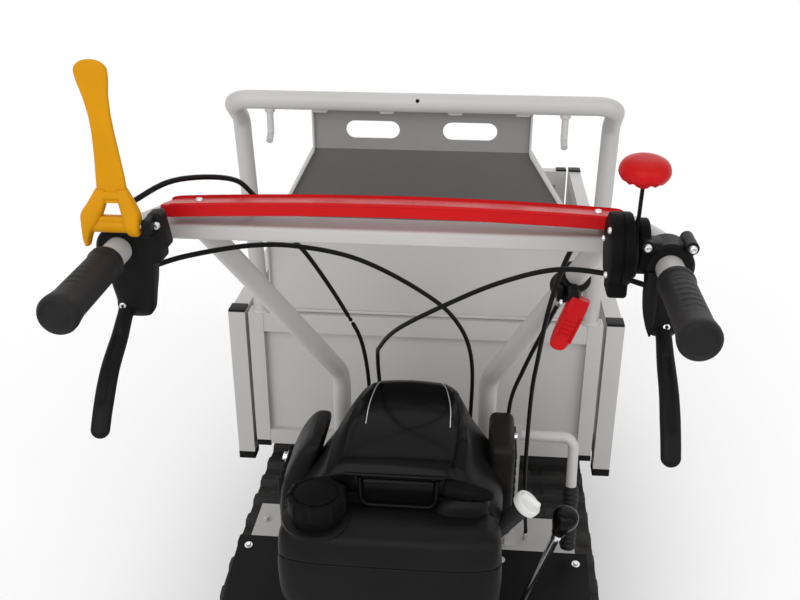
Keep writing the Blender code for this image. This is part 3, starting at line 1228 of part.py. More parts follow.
def centre_footprint():
    """One empty moves the machine so that its origin is the middle of its footprint."""
    root = bpy.data.objects.new("barrow_origin", None)
    rear_end = GRIP_REACH + GRIP_RIM * math.hypot(BAR_LINE.x, BAR_LINE.z)
    root.location = (0.0, (rear_end - BED_LENGTH) / 2, 0.0)
    PARTS.objects.link(root)
    for obj in bpy.data.objects:
        if obj.parent is None and obj is not root:
            obj.parent = root


def shade_round_pieces():
    for obj in PARTS.objects:
        if obj.type == "MESH":
            obj.data.shade_smooth()
            obj.data.set_sharp_from_angle(angle=math.radians(35))


make_barrow()
centre_footprint()
shade_round_pieces()
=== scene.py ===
import math

import bmesh
import bpy
from mathutils import Matrix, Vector
import numpy as np


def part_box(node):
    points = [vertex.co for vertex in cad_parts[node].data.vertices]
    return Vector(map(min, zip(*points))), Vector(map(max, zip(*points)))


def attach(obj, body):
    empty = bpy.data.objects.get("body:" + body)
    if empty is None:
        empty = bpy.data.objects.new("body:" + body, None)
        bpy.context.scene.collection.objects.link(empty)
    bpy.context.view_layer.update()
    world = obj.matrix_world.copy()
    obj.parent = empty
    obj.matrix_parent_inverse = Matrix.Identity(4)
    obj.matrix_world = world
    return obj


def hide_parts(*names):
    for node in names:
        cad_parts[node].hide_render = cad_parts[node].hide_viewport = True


bl_info = {
    "name": "Tracked power barrow",
    "version": (1, 0, 0),
    "blender": (4, 5, 0),
    "location": "3D View > Sidebar > Barrow",
    "description": "Finishes and detailed pieces for a walk-behind barrow on rubber tracks",
    "category": "Object",
}

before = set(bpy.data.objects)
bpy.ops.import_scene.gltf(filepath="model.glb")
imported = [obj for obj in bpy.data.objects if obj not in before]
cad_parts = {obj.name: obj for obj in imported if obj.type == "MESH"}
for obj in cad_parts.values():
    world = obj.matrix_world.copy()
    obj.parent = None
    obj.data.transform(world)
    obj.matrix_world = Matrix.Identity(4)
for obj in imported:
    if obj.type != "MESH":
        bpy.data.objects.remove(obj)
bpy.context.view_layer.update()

# Places are given from the bed's rear face; heights are from its top rail or, on the chassis, the ground.
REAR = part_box("rear_frame")[0].y
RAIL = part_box("rear_frame")[1].z
ABOVE_RAIL = np.array((0.0, REAR, RAIL))
ON_GROUND = np.array((0.0, REAR, 0.0))
LEFT_AND_RIGHT = (("left", -1.0), ("right", 1.0))

# Directions
UP = (0.0, 0.0, 1.0)
ACROSS = (1.0, 0.0, 0.0)
LEFTWARD = (-1.0, 0.0, 0.0)
AHEAD = (0.0, 1.0, 0.0)
BACK = (0.0, -1.0, 0.0)

# Corners of the right handlebar tube and, last, of the plate between both tubes
BAR_FOOT = (0.114, -0.200, -0.2797)
BAR_KNEE = (0.114, -0.200, 0.0)
BAR_TOP = (0.247, -0.470, 0.357)
BAR_FLARE = (0.279, -0.535, 0.357)
BAR_END = (0.279, -0.757, 0.354)
CROSS_PLATE = ((-0.267, -0.535, 0.344), (0.267, -0.495, 0.362))

# Right half of the hoop and right edge of the headboard, with their hooks and welds across
HOOP_CORNERS = [(0.288, 0.015, 0.0003), (0.288, 0.015, 0.0273), (0.283, -0.0504, 0.360),
                (0.280, -0.120, 0.405)]
BOARD_EDGE = [(0.268, 0.013, 0.004), (0.268, 0.013, 0.140), (0.1612, -0.1005, 0.330),
              (0.1612, -0.1005, 0.387)]
HOOKS_ACROSS = (-0.222, 0.208)
WELDS_ACROSS = (-0.148, -0.050, 0.050, 0.148)

# Track loop: axle places, the height of the axles above the ground and the belt's sizes
SPROCKET_Y = -0.26
IDLER_Y = 0.42
TRACK_AXIS = 0.16
BELT_OUTER = 0.144
BELT_THICK = 0.012
TRACK_X = 0.215
TRACK_HALF = 0.09

# Controls, above the rail
LEVER_PIVOT = (0.282, -0.583, 0.290)
CLUTCH_PIVOT = (-0.27725, -0.6125, 0.388)
THROTTLE_AXIS = (-0.585, 0.365)
KNOB_BASE = (0.2455, -0.592, 0.437)
STALK_ELBOW = (0.2455, -0.588, 0.405)
CLAMP_Y = -0.5825
CABLE_ADJUSTER = (0.271, -0.5660, 0.316)
RELEASE_PIN = (0.2065, -0.430, 0.238)
RELEASE_SHARE = 0.69
RELEASE_TILT = math.radians(20.0)

# Square posts of the bed
POST_HALF = 0.015
GATE_POST_HALF = 0.013

# Engine pieces, above the ground
TANK_CENTRE = (-0.0105, -0.4870)
FUEL_NECK = (-0.105, -0.490, 0.6070)
OIL_PIPE_FOOT = (0.095, -0.415, 0.500)
OIL_PIPE_TOP = (0.163, -0.425, 0.590)
HOOD_FOOT = 0.5462
HOOD_WAIST = 0.598

# Chassis levers, above the ground
GEAR_FOOT = (0.160, -0.385, 0.3393)
GEAR_TOP = (0.215, -0.405, 0.535)
LOCK_START = (0.1663, -0.236, 0.585)
LOCK_CORNER = (0.2465, -0.236, 0.585)
LOCK_END = (0.2465, -0.252, 0.507)
LOCK_GRIP = 0.105

# Lamps: where each shines from, and its strength
LAMPS = {
    "key_lamp": ((-1.2, -3.0, 1.6), 1.40),
    "fill_lamp": ((2.2, -2.2, 1.4), 0.80),
    "top_lamp": ((0.0, 0.6, 2.9), 0.60),
    "far_lamp": ((0.6, 3.0, 1.4), 0.30),
}
LAMP_SPREAD = math.radians(55.0)
SURROUND_LIGHT = 0.50

# The photograph's camera, above the rail, and its turns in degrees
CAMERA_PLACE = (0.0901, -1.4841, 0.7176)
CAMERA_TURNS = (65.40, -0.05, 5.05)

# Bowden cables, above the rail
CABLE_ROUTES = {
    "clutch_cable": ((-0.275, -0.575, 0.3853), (-0.275, -0.575, 0.396), (-0.236, -0.534, 0.411),
                     (-0.191, -0.475, 0.396), (-0.173, -0.440, 0.365), (-0.148, -0.390, 0.302),
                     (-0.126, -0.340, 0.242), (-0.094, -0.280, 0.145), (-0.074, -0.240, 0.066),
                     (-0.066, -0.225, -0.050), (-0.066, -0.222, -0.262), (-0.066, -0.222, -0.2797)),
    "left_steering_cable": ((-0.271, -0.5647, 0.316), (-0.271, -0.553, 0.316), (-0.234, -0.520, 0.319),
                            (-0.175, -0.470, 0.314), (-0.124, -0.430, 0.299), (-0.057, -0.390, 0.268),
                            (0.015, -0.340, 0.207), (0.062, -0.298, 0.146), (0.086, -0.262, 0.069),
                            (0.088, -0.232, -0.050), (0.078, -0.225, -0.262), (0.078, -0.225, -0.2797)),
    "right_steering_cable": ((0.271, -0.5647, 0.316), (0.271, -0.553, 0.316), (0.228, -0.522, 0.316),
                             (0.176, -0.490, 0.305), (0.117, -0.440, 0.265), (0.057, -0.410, 0.222),
                             (-0.010, -0.360, 0.160), (-0.040, -0.310, 0.107), (-0.050, -0.262, 0.061),
                             (-0.048, -0.235, -0.040), (-0.040, -0.228, -0.262), (-0.040, -0.228, -0.2797)),
    "throttle_cable": ((0.230, -0.5477, 0.3668), (0.230, -0.538, 0.3668), (0.224, -0.492, 0.3668),
                       (0.204, -0.474, 0.342), (0.188, -0.460, 0.295), (0.178, -0.430, 0.227),
                       (0.173, -0.385, 0.138), (0.170, -0.345, 0.051), (0.172, -0.300, -0.113),
                       (0.184, -0.225, -0.262), (0.184, -0.225, -0.2797)),
    "release_cable": ((0.1971, -0.3903, 0.2226), (0.1914, -0.3787, 0.2073), (0.180, -0.358, 0.165),
                      (0.160, -0.310, 0.080), (0.146, -0.262, -0.004), (0.146, -0.214, -0.120),
                      (0.150, -0.190, -0.262), (0.150, -0.190, -0.2797)),
}


def colour(label, words, value):
    """A colour setting."""
    return bpy.props.FloatVectorProperty(name=label, description=words, default=value, size=3, min=0.0,
                                         max=1.0, subtype="COLOR")


def length(label, words, value):
    """A size setting in metres."""
    return bpy.props.FloatProperty(name=label, description=words, default=value, min=0.0, unit="LENGTH",
                                   subtype="DISTANCE", precision=4)


def number(label, words, value):
    """A setting that counts."""
    return bpy.props.IntProperty(name=label, description=words, default=value, min=3)


class BarrowColours(bpy.types.PropertyGroup):
    """Colours of the barrow's finishes"""

    paint: colour("Frame paint", "Powder coat of the frame, bed and handlebar", (0.46, 0.45, 0.44))
    red: colour("Control red", "Console, throttle knob and release trigger", (0.50, 0.008, 0.010))
    amber: colour("Clutch amber", "Clutch lever", (0.63, 0.275, 0.004))
    plastic: colour("Black plastic", "Brackets, levers and engine covers", (0.0040, 0.0039, 0.0038))
    rubber: colour("Rubber", "Tracks, grips and belts", (0.0055, 0.0053, 0.0052))
    steel: colour("Steel", "Shafts, pulleys and fasteners", (0.56, 0.56, 0.57))
    casting: colour("Casting", "Engine block and gearbox", (0.030, 0.030, 0.032))
    cap: colour("Oil cap", "Light moulded filler cap", (0.70, 0.70, 0.69))
    chrome: colour("Chrome", "Plated gear lever", (0.80, 0.80, 0.81))
    chrome_haze: colour("Chrome haze", "Dull patches of the plating", (0.72, 0.72, 0.74))
    muffler: colour("Muffler", "Heat-proof black of the muffler", (0.012, 0.0118, 0.0115))
    scorch: colour("Scorch", "Scorched patches of the muffler", (0.022, 0.019, 0.017))
    floor: colour("Floor", "Studio floor", (0.90, 0.90, 0.90))


class BarrowSizes(bpy.types.PropertyGroup):
    """Sizes of the barrow's detailed pieces"""

    bar: length("Bar radius", "Outer radius of the handlebar tube", 0.014)
    bar_bend: length("Bar bend", "Bend radius of the handlebar tube", 0.060)
    hoop: length("Hoop radius", "Outer radius of the hoop tube", 0.0135)
    hoop_bend: length("Hoop bend", "Bend radius of the hoop's corners", 0.030)
    grip: length("Grip length", "Length of a handlebar grip", 0.125)
    cable: length("Cable radius", "Outer radius of a Bowden cable", 0.003)
    lug: length("Lug height", "Height of a track lug over the belt", 0.016)
    lugs: number("Lugs", "Lugs round one track", 38)
    cap_ribs: number("Cap ribs", "Finger ribs round the fuel cap", 9)
    scallops: number("Knob scallops", "Scallops under the throttle knob", 14)
    lens: bpy.props.FloatProperty(name="Lens", description="Focal length of the camera", default=42.8,
                                  min=10.0, subtype="DISTANCE_CAMERA")


def above(points):
    """A place, or an array of them, given from the bed's rear face and its rail."""
    return np.asarray(points, float) + ABOVE_RAIL


def grounded(points):
    """A place, or an array of them, given from the bed's rear face and the ground."""
    return np.asarray(points, float) + ON_GROUND


def extent(node):
    """A node's lower and upper corner, the middle between them and the half size."""
    low, high = (np.array(corner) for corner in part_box(node))
    return low, high, (low + high) / 2, (high - low) / 2


# Surfaces: each returns points and faces

def skin(points, closed_rows=False, closed_columns=True, caps=True):
    """Quads between neighbours of a grid of points (rows, columns, 3).

    Closed columns join the last column to the first, closed rows the last row to the first, and caps
    fill the first and the last row with one face each.
    """
    rows, columns = points.shape[:2]
    index = np.arange(rows * columns).reshape(rows, columns)
    if closed_columns:
        index = np.concatenate([index, index[:, :1]], axis=1)
    if closed_rows:
        index = np.concatenate([index, index[:1]], axis=0)
    corners = (index[:-1, :-1], index[:-1, 1:], index[1:, 1:], index[1:, :-1])
    faces = np.stack(corners, axis=-1).reshape(-1, 4).tolist()
    if caps and not closed_rows:
        faces += [index[0, :columns][::-1].tolist(), index[-1, :columns].tolist()]
    return points.reshape(-1, 3), faces


def through(knots, count=8):
    """Catmull-Rom curve: each span is a cubic of its two knots and their neighbours, cut in count steps."""
    knots = np.asarray(knots, float)
    padded = np.concatenate([[2 * knots[0] - knots[1]], knots, [2 * knots[-1] - knots[-2]]])
    a, b, c, d = padded[:-3, None], padded[1:-2, None], padded[2:-1, None], padded[3:, None]
    t = np.linspace(0.0, 1.0, count, endpoint=False)[None, :, None]
    curve = 0.5 * (2 * b + (c - a) * t + (2 * a - 5 * b + 4 * c - d) * t ** 2
                   + (3 * b - a - 3 * c + d) * t ** 3)
    return np.concatenate([curve.reshape(-1, knots.shape[1]), knots[-1:]])


def spaced(curve, share):
    """Points of a curve at shares of its length, each coordinate interpolated over the length run so far."""
    run = np.concatenate([[0.0], np.cumsum(np.linalg.norm(np.diff(curve, axis=0), axis=1))])
    return np.stack([np.interp(share * run[-1], run, curve[:, axis]) for axis in range(3)], axis=-1)


def bent(corners, radius, count=8):
    """A polyline with arcs of one radius for corners: an arc touches both legs, and slerp runs along it."""
    corners = np.asarray(corners, float)
    stretches = [corners[:1]]
    for before, corner, after in zip(corners, corners[1:], corners[2:]):
        back = (before - corner) / np.linalg.norm(before - corner)
        ahead = (after - corner) / np.linalg.norm(after - corner)
        half = math.acos(float(np.clip(back @ ahead, -1.0, 1.0))) / 2
        middle = (back + ahead) / np.linalg.norm(back + ahead)
        centre = corner + middle * radius / math.sin(half)
        first = corner + back * radius / math.tan(half) - centre
        last = corner + ahead * radius / math.tan(half) - centre
        sweep = math.pi - 2 * half
        t = np.linspace(0.0, 1.0, count + 1)[:, None]
        arc = first * np.sin((1 - t) * sweep) + last * np.sin(t * sweep)
        stretches.append(centre + arc / math.sin(sweep))
    return np.concatenate(stretches + [corners[-1:]])


def ring(count=24):
    """Unit circle: cosine and sine of evenly spaced angles."""
    turn = np.linspace(0.0, 2 * math.pi, count, endpoint=False)
    return np.stack([np.cos(turn), np.sin(turn)], axis=-1)


def oval(wide, deep, power=2.0, count=32):
    """Superellipse: a half size times the sign and the 2/power power of the cosine or the sine."""
    circle = ring(count)
    return np.sign(circle) * np.abs(circle) ** (2.0 / power) * np.array((wide, deep))


def carried(path, section, up=UP):
    """A closed section carried along a path: path point plus section x times the side and y times the rise.

    The side is square to the path and to up, and the rise to both. The section is one for the whole
    path, or one for each path point.
    """
    along = np.gradient(path, axis=0)
    along /= np.linalg.norm(along, axis=1, keepdims=True)
    side = np.cross(along, np.asarray(up, float))
    side /= np.linalg.norm(side, axis=1, keepdims=True)
    rise = np.cross(side, along)
    section = np.broadcast_to(section, (len(path), *section.shape[-2:]))
    return skin(path[:, None] + section[..., :1] * side[:, None] + section[..., 1:] * rise[:, None])


def tube(path, radius, up=UP, count=24):
    """A circle of one radius carried along a path."""
    return carried(np.asarray(path, float), ring(count) * radius, up)


def axes_of(direction):
    """The unit direction and two unit vectors square to it and to each other, by cross products."""
    direction = np.asarray(direction, float) / np.linalg.norm(direction)
    helper = np.array(UP) if abs(direction[2]) < 0.9 else np.array(ACROSS)
    first = np.cross(helper, direction)
    first /= np.linalg.norm(first)
    return direction, first, np.cross(direction, first)


def turned(profile, base, direction, count=64, swell=None):
    """Surface of revolution: base plus height along the direction plus radius round it.

    Swell, when given, is added to the radius: an array over the profile's rows and the angles.
    """
    profile = np.asarray(profile, float)
    direction, first, second = axes_of(direction)
    radius = profile[:, :1] + (0.0 if swell is None else swell)
    circle = ring(count)
    spread = radius[..., None] * (circle[:, :1] * first + circle[:, 1:] * second)[None]
    return skin(np.asarray(base, float) + spread + profile[:, None, 1:] * direction)


def rod(radius, start, end, place, direction, count, edge=0.0):
    """A cylinder from start to end along a direction, its rims chamfered by edge."""
    rims = [(radius - edge, start), (radius, start + edge), (radius, end - edge), (radius - edge, end)]
    return turned([(0.0, start), *(rims if edge else rims[1:3]), (0.0, end)], place, direction, count)


def block(low, high, radius, count=5):
    """Rounded box: a unit direction times the radius, moved to the inner box's corner in that octant."""
    low, high = np.asarray(low, float), np.asarray(high, float)
    quarter = np.linspace(0.0, math.pi / 2, count)
    turn = (quarter + np.arange(4)[:, None] * math.pi / 2).ravel()
    lean = np.concatenate([quarter - math.pi / 2, quarter])[:, None]
    octant = np.arange(4).repeat(count) * math.pi / 2 + math.pi / 4
    level = np.repeat((-1.0, 1.0), count)[:, None]
    direction = np.stack([np.cos(lean) * np.cos(turn), np.cos(lean) * np.sin(turn),
                          np.sin(lean) + 0.0 * turn], axis=-1)
    corner = np.stack([np.sign(np.cos(octant)) + 0.0 * level, np.sign(np.sin(octant)) + 0.0 * level,
                       level + 0.0 * turn], axis=-1)
    return skin((low + high) / 2 + corner * ((high - low) / 2 - radius) + direction * radius)


def lofted(rows, axis=2, count=72):
    """Superellipses stacked along an axis: rows of height, two centres, two half sizes and the power."""
    rows = np.asarray(rows, float)
    circle = ring(count)[None]
    shape = np.sign(circle) * np.abs(circle) ** (2.0 / rows[:, None, 5:])
    flat = rows[:, None, 1:3] + shape * rows[:, None, 3:5]
    points = np.concatenate([flat, np.broadcast_to(rows[:, None, :1], (len(rows), count, 1))], axis=-1)
    return skin(np.roll(points, axis - 2, axis=-1))


def swung(surface, about, axis, angle):
    """The surface turned by an angle about a line (Rodrigues' formula on the whole array)."""
    points, faces = surface
    axis = np.asarray(axis, float) / np.linalg.norm(axis)
    arm = points - about
    turned_arm = (arm * math.cos(angle) + np.cross(axis, arm) * math.sin(angle)
                  + axis * (arm @ axis)[:, None] * (1 - math.cos(angle)))
    return turned_arm + about, faces


def moved(surface, offset):
    """The surface shifted by an offset."""
    return surface[0] + np.asarray(offset, float), surface[1]


def mirrored(surface, side):
    """The surface of the right side, or its image on the left when side is -1."""
    return surface[0] * np.array((side, 1.0, 1.0)), surface[1]


def bolt(place, direction, size):
    """A washer and a six-sided head with a chamfered top."""
    washer = rod(size * 1.5, 0.0, size * 0.2, place, direction, 32)
    head = turned([(0.0, size * 0.15), (size, size * 0.15), (size, size * 0.8), (size * 0.85, size),
                   (0.0, size)], place, direction, 6)
    return [washer, head]


def bolts(places, direction, size):
    """A bolt at each place."""
    return [part for place in places for part in bolt(place, direction, size)]


def screw(place, direction, size):
    """A domed head with a round socket: the profile rises, rounds over and drops into the socket."""
    return turned([(0.0, 0.0), (size, 0.0), (size, size * 0.5), (size * 0.8, size * 0.85),
                   (size * 0.5, size * 0.95), (size * 0.42, size * 0.9), (size * 0.42, size * 0.45),
                   (0.0, size * 0.45)], place, direction, 24)


def piece(name, surfaces, finish, body, stands_for=(), crease=38.0):
    """One object of several closed surfaces, with its finish, its body and the nodes it stands for."""
    starts = np.cumsum([0] + [len(points) for points, _ in surfaces])
    points = np.concatenate([points for points, _ in surfaces])
    faces = [[start + i for i in face] for (_, some), start in zip(surfaces, starts) for face in some]
    mesh = bpy.data.meshes.new(name)
    mesh.from_pydata(points.tolist(), [], faces)
    edit = bmesh.new()
    edit.from_mesh(mesh)
    bmesh.ops.remove_doubles(edit, verts=edit.verts, dist=1e-6)
    bmesh.ops.recalc_face_normals(edit, faces=edit.faces)
    edit.to_mesh(mesh)
    edit.free()
    mesh.shade_smooth()
    mesh.set_sharp_from_angle(angle=math.radians(crease))
    obj = bpy.data.objects.new(name, mesh)
    bpy.context.scene.collection.objects.link(obj)
    mesh.materials.append(finish_of(finish))
    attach(obj, body)
    if stands_for:
        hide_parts(*stands_for)
    return obj


# Finishes: the band of each noise over which dull patches, dust and roughness run from least to most
DULL_BAND = (0.35, 0.72)
DUST_BAND = (0.55, 0.80)
GRAIN_BAND = (0.3, 0.7)
DUST_SCALE = 38.0
DUST_COLOUR = (0.30, 0.28, 0.25, 1.0)
BUMP_HEIGHT = 0.0006
COAT_ROUGHNESS = 0.12


def finish_material(name, base, dull, patch, rough, grain, relief, metallic=0.0, coat=0.0,
                    stretch=(1.0, 1.0, 1.0), dust=0.0, gloss=0.03):
    """Principled finish on Object coordinates.

    A broad noise runs the colour from base to dull, a fine noise runs the roughness between two values
    and lifts the surface, and a third, sparse noise lays pale dust where dust is above nought.
    """
    material = bpy.data.materials.new(name)
    material.use_nodes = True
    nodes, links = material.node_tree.nodes, material.node_tree.links
    shader = nodes["Principled BSDF"]
    place = nodes.new("ShaderNodeTexCoord")
    mapping = nodes.new("ShaderNodeMapping")
    mapping.inputs["Scale"].default_value = stretch
    links.new(place.outputs["Object"], mapping.inputs["Vector"])

    def noise(scale, detail, source):
        node = nodes.new("ShaderNodeTexNoise")
        node.inputs["Scale"].default_value = scale
        node.inputs["Detail"].default_value = detail
        links.new(source, node.inputs["Vector"])
        return node.outputs["Fac"]

    def ranged(source, band, ends):
        node = nodes.new("ShaderNodeMapRange")
        for side, value in zip(("From Min", "From Max", "To Min", "To Max"), (*band, *ends)):
            node.inputs[side].default_value = value
        links.new(source, node.inputs["Value"])
        return node.outputs["Result"]

    ramp = nodes.new("ShaderNodeValToRGB")
    for stop, share, tone in zip(ramp.color_ramp.elements, DULL_BAND, (base, dull)):
        stop.position = share
        stop.color = (*tone, 1.0)
    links.new(noise(patch, 5.0, place.outputs["Object"]), ramp.inputs["Fac"])
    shown = ramp.outputs["Color"]
    if dust > 0.0:
        mask = ranged(noise(DUST_SCALE, 8.0, place.outputs["Object"]), DUST_BAND, (0.0, dust))
        powder = nodes.new("ShaderNodeMix")
        powder.data_type = "RGBA"
        powder.inputs["B"].default_value = DUST_COLOUR
        links.new(mask, powder.inputs["Factor"])
        links.new(shown, powder.inputs["A"])
        shown = powder.outputs["Result"]
    links.new(shown, shader.inputs["Base Color"])
    fine = noise(grain, 3.0, mapping.outputs["Vector"])
    links.new(ranged(fine, GRAIN_BAND, rough), shader.inputs["Roughness"])
    bump = nodes.new("ShaderNodeBump")
    bump.inputs["Strength"].default_value = relief
    bump.inputs["Distance"].default_value = BUMP_HEIGHT
    links.new(fine, bump.inputs["Height"])
    links.new(bump.outputs["Normal"], shader.inputs["Normal"])
    shader.inputs["Metallic"].default_value = metallic
    shader.inputs["Specular IOR Level"].default_value = gloss
    shader.inputs["Coat Weight"].default_value = coat
    shader.inputs["Coat Roughness"].default_value = COAT_ROUGHNESS
    return material


def scaled(base, share):
    """A colour with every channel times a share."""
    return tuple(share * channel for channel in base)


# Each finish: its colour and its dull patches, as shares of the set colours, the patches' scale, two values
# of roughness, the grain's scale, its relief and other inputs
FINISHES = {
    "powder_coat": (("paint", 1.0), ("paint", 0.93), 5.0, (0.34, 0.46), 520.0, 0.16,
                    {"coat": 0.05, "gloss": 0.4}),
    # The next two are the frame paint darkened: painted shade on the headboard's overhanging slope and on
    # its tab.
    "shaded_sheet": (("paint", 0.30), ("paint", 0.26), 4.0, (0.40, 0.52), 520.0, 0.16, {}),
    "dull_sheet": (("paint", 0.48), ("paint", 0.43), 4.0, (0.40, 0.52), 520.0, 0.16, {}),
    "grained_plastic": (("plastic", 1.0), ("plastic", 1.7), 24.0, (0.42, 0.56), 1100.0, 0.35, {}),
    "gloss_plastic": (("plastic", 0.7), ("plastic", 1.0), 12.0, (0.13, 0.21), 260.0, 0.03, {"gloss": 0.08}),
    "satin_plastic": (("plastic", 1.1), ("plastic", 1.6), 14.0, (0.38, 0.50), 700.0, 0.12, {"gloss": 0.09}),
    "hood_plastic": (("plastic", 1.6), ("plastic", 2.4), 8.0, (0.30, 0.38), 700.0, 0.10, {"gloss": 0.06}),
    "soft_rubber": (("rubber", 1.0), ("rubber", 1.7), 30.0, (0.50, 0.66), 900.0, 0.30, {"gloss": 0.20}),
    "track_rubber": (("rubber", 6.0), ("rubber", 9.0), 9.0, (0.66, 0.85), 320.0, 0.5,
                     {"dust": 0.12, "gloss": 0.05}),
    "red_moulding": (("red", 1.0), ("red", 0.88), 10.0, (0.26, 0.34), 420.0, 0.05, {"gloss": 0.08}),
    "amber_moulding": (("amber", 1.0), ("amber", 0.88), 16.0, (0.32, 0.44), 640.0, 0.12, {"gloss": 0.08}),
    "bright_chrome": (("chrome", 1.0), ("chrome_haze", 1.0), 20.0, (0.08, 0.15), 300.0, 0.03,
                      {"metallic": 1.0}),
    "turned_steel": (("steel", 1.0), ("steel", 0.8), 14.0, (0.28, 0.42), 240.0, 0.15,
                     {"metallic": 1.0, "stretch": (8.0, 1.0, 1.0)}),
    "zinc_steel": (("steel", 1.1), ("steel", 0.85), 60.0, (0.26, 0.40), 500.0, 0.1, {"metallic": 0.9}),
    "painted_casting": (("casting", 1.0), ("casting", 1.5), 20.0, (0.42, 0.58), 380.0, 0.55,
                        {"metallic": 0.35}),
    "heat_black": (("muffler", 1.0), ("scorch", 1.0), 26.0, (0.42, 0.60), 420.0, 0.35, {"metallic": 0.6}),
    "pale_plastic": (("cap", 1.0), ("cap", 0.9), 40.0, (0.34, 0.46), 800.0, 0.15, {}),
}


def finish_of(name):
    """The named finish, made the first time it is asked for."""
    if name in bpy.data.materials:
        return bpy.data.materials[name]
    *tones, patch, rough, grain, relief, others = FINISHES[name]
    base, dull = (scaled(getattr(bpy.context.scene.barrow_colours, key), share) for key, share in tones)
    return finish_material(name, base, dull, patch, rough, grain, relief, **others)


NODE_FINISHES = {
    "powder_coat": ("chassis_frame", "rear_frame", "front_gate", "bed_floor", "left_side", "right_side",
                    "headboard", "left_track_frame", "right_track_frame"),
    "satin_plastic": ("left_track_guard", "right_track_guard"),
    "painted_casting": ("engine_block", "gearbox_housing"),
    "turned_steel": ("tip_shaft", "tip_latch", "tensioner_arm", "drive_pulley", "gearbox_pulley",
                     "left_drive_sprocket", "right_drive_sprocket"),
    "track_rubber": ("drive_belt",),
}


class Maker:
    """What the piece operators share"""

    bl_options = {"REGISTER", "UNDO"}

    def execute(self, context):
        self.make(context.scene.barrow_sizes)
        return {"FINISHED"}


class BARROW_OT_frame_finishes(Maker, bpy.types.Operator):
    """Gives every solid that stays in view its finish"""

    bl_idname = "barrow.frame_finishes"
    bl_label = "Frame finishes"

    def make(self, sizes):
        for finish, nodes in NODE_FINISHES.items():
            for node in nodes:
                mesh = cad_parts[node].data
                mesh.materials.clear()
                mesh.materials.append(finish_of(finish))
        self.headboard(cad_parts["headboard"].data)

    def headboard(self, mesh):
        """The overhanging panel and the tab over it get painted shade: darker paint, chosen by each face's
        normal and height.
        """
        count = len(mesh.polygons)
        normal, centre = np.empty(count * 3), np.empty(count * 3)
        mesh.polygons.foreach_get("normal", normal)
        mesh.polygons.foreach_get("center", centre)
        normal, height = normal.reshape(-1, 3), centre.reshape(-1, 3)[:, 2] - RAIL
        # Painted shade: faces turned down and back get the darker paint, the tab's rear face high up a
        # lighter one.
        slot = np.where((normal[:, 1] < -0.3) & (normal[:, 2] < -0.2), 1, 0)
        slot = np.where((normal[:, 1] < -0.9) & (height > 0.30), 2, slot)
        mesh.materials.append(finish_of("shaded_sheet"))
        mesh.materials.append(finish_of("dull_sheet"))
        mesh.polygons.foreach_set("material_index", slot.astype(np.int32))
        mesh.update()


def loop_of(distance, radius):
    """Place and outward direction round a track: two straights of equal length joined by half circles."""
    straight = IDLER_Y - SPROCKET_Y
    half_turn = math.pi * radius
    angle_front = (distance - straight) / radius - math.pi / 2
    angle_rear = (distance - 2 * straight - half_turn) / radius + math.pi / 2
    stage = np.digitize(distance, (straight, straight + half_turn, 2 * straight + half_turn))
    zero = np.zeros_like(distance)
    out_y = np.choose(stage, (zero, np.cos(angle_front), zero, np.cos(angle_rear)))
    out_z = np.choose(stage, (zero - 1.0, np.sin(angle_front), zero + 1.0, np.sin(angle_rear)))
    centre_y = np.choose(stage, (SPROCKET_Y + distance, zero + IDLER_Y,
                                 IDLER_Y - (distance - straight - half_turn), zero + SPROCKET_Y))
    return centre_y, out_y, out_z


def tread(sizes, side):
    """A belt with lugs: the loop's radius plus the lug height where the distance round it falls on a lug.

    Each lug is a flat bar with sloped flanks and chamfered ends and a shallow dip in its middle.
    """
    phase = np.array((0.0, 0.035, 0.06, 0.20, 0.343, 0.368, 0.403, 0.50, 0.70, 0.90))
    lift = np.array((0.0, 0.85, 1.0, 1.0, 1.0, 0.85, 0.0, 0.0, 0.0, 0.0))
    across = np.array((-1.0, -0.985, -0.94, -0.60, -0.14, -0.09, 0.09, 0.14, 0.60, 0.94, 0.985, 1.0))
    crown = np.array((0.0, 0.80, 1.0, 1.0, 1.0, 0.78, 0.78, 1.0, 1.0, 1.0, 0.80, 0.0))
    around = 2 * (IDLER_Y - SPROCKET_Y) + 2 * math.pi * BELT_OUTER
    distance = ((np.arange(sizes.lugs)[:, None] + phase) * around / sizes.lugs).ravel()
    centre_y, out_y, out_z = loop_of(distance, BELT_OUTER)
    height = np.tile(lift, sizes.lugs)[:, None] * crown * sizes.lug
    inner = np.full((len(distance), 4), -BELT_THICK)
    reach = BELT_OUTER + np.concatenate([height, inner], axis=1)
    x = np.concatenate([across, (0.97, 0.35, -0.35, -0.97)]) * TRACK_HALF + side * TRACK_X
    points = np.stack([np.broadcast_to(x, reach.shape), REAR + centre_y[:, None] + reach * out_y[:, None],
                       TRACK_AXIS + reach * out_z[:, None]], axis=-1)
    return skin(points, closed_rows=True)


class BARROW_OT_tracks(Maker, bpy.types.Operator):
    """Rubber tracks with moulded lugs"""

    bl_idname = "barrow.tracks"
    bl_label = "Tracks"

    def make(self, sizes):
        for name, side in LEFT_AND_RIGHT:
            piece(name + "_tread", [tread(sizes, side)], "track_rubber", "chassis", (name + "_track_belt",))


def wheel_surfaces(node):
    """Two rubber-faced discs on one axle: a profile of radius over the axle's length, turned round X."""
    _, _, middle, (half, _, radius) = extent(node)
    radius = radius / math.cos(math.pi / 22)
    face, axle = half - 0.030, 0.0118
    dish = min(radius * 0.55, radius - 0.014)
    side = [(axle, face), (radius - 0.003, face), (radius, face + 0.003), (radius, half - 0.005),
            (radius - 0.005, half), (dish + 0.006, half), (dish, half - 0.009), (0.022, half - 0.009),
            (0.020, half - 0.003), (0.0, half - 0.003)]
    profile = [(r, -x) for r, x in reversed(side)] + side
    hub = []
    for end in (-1.0, 1.0):
        hub += bolt(middle + (end * (half - 0.003), 0.0, 0.0), (end, 0.0, 0.0), 0.007)
    return turned(profile, middle, ACROSS, 72), hub


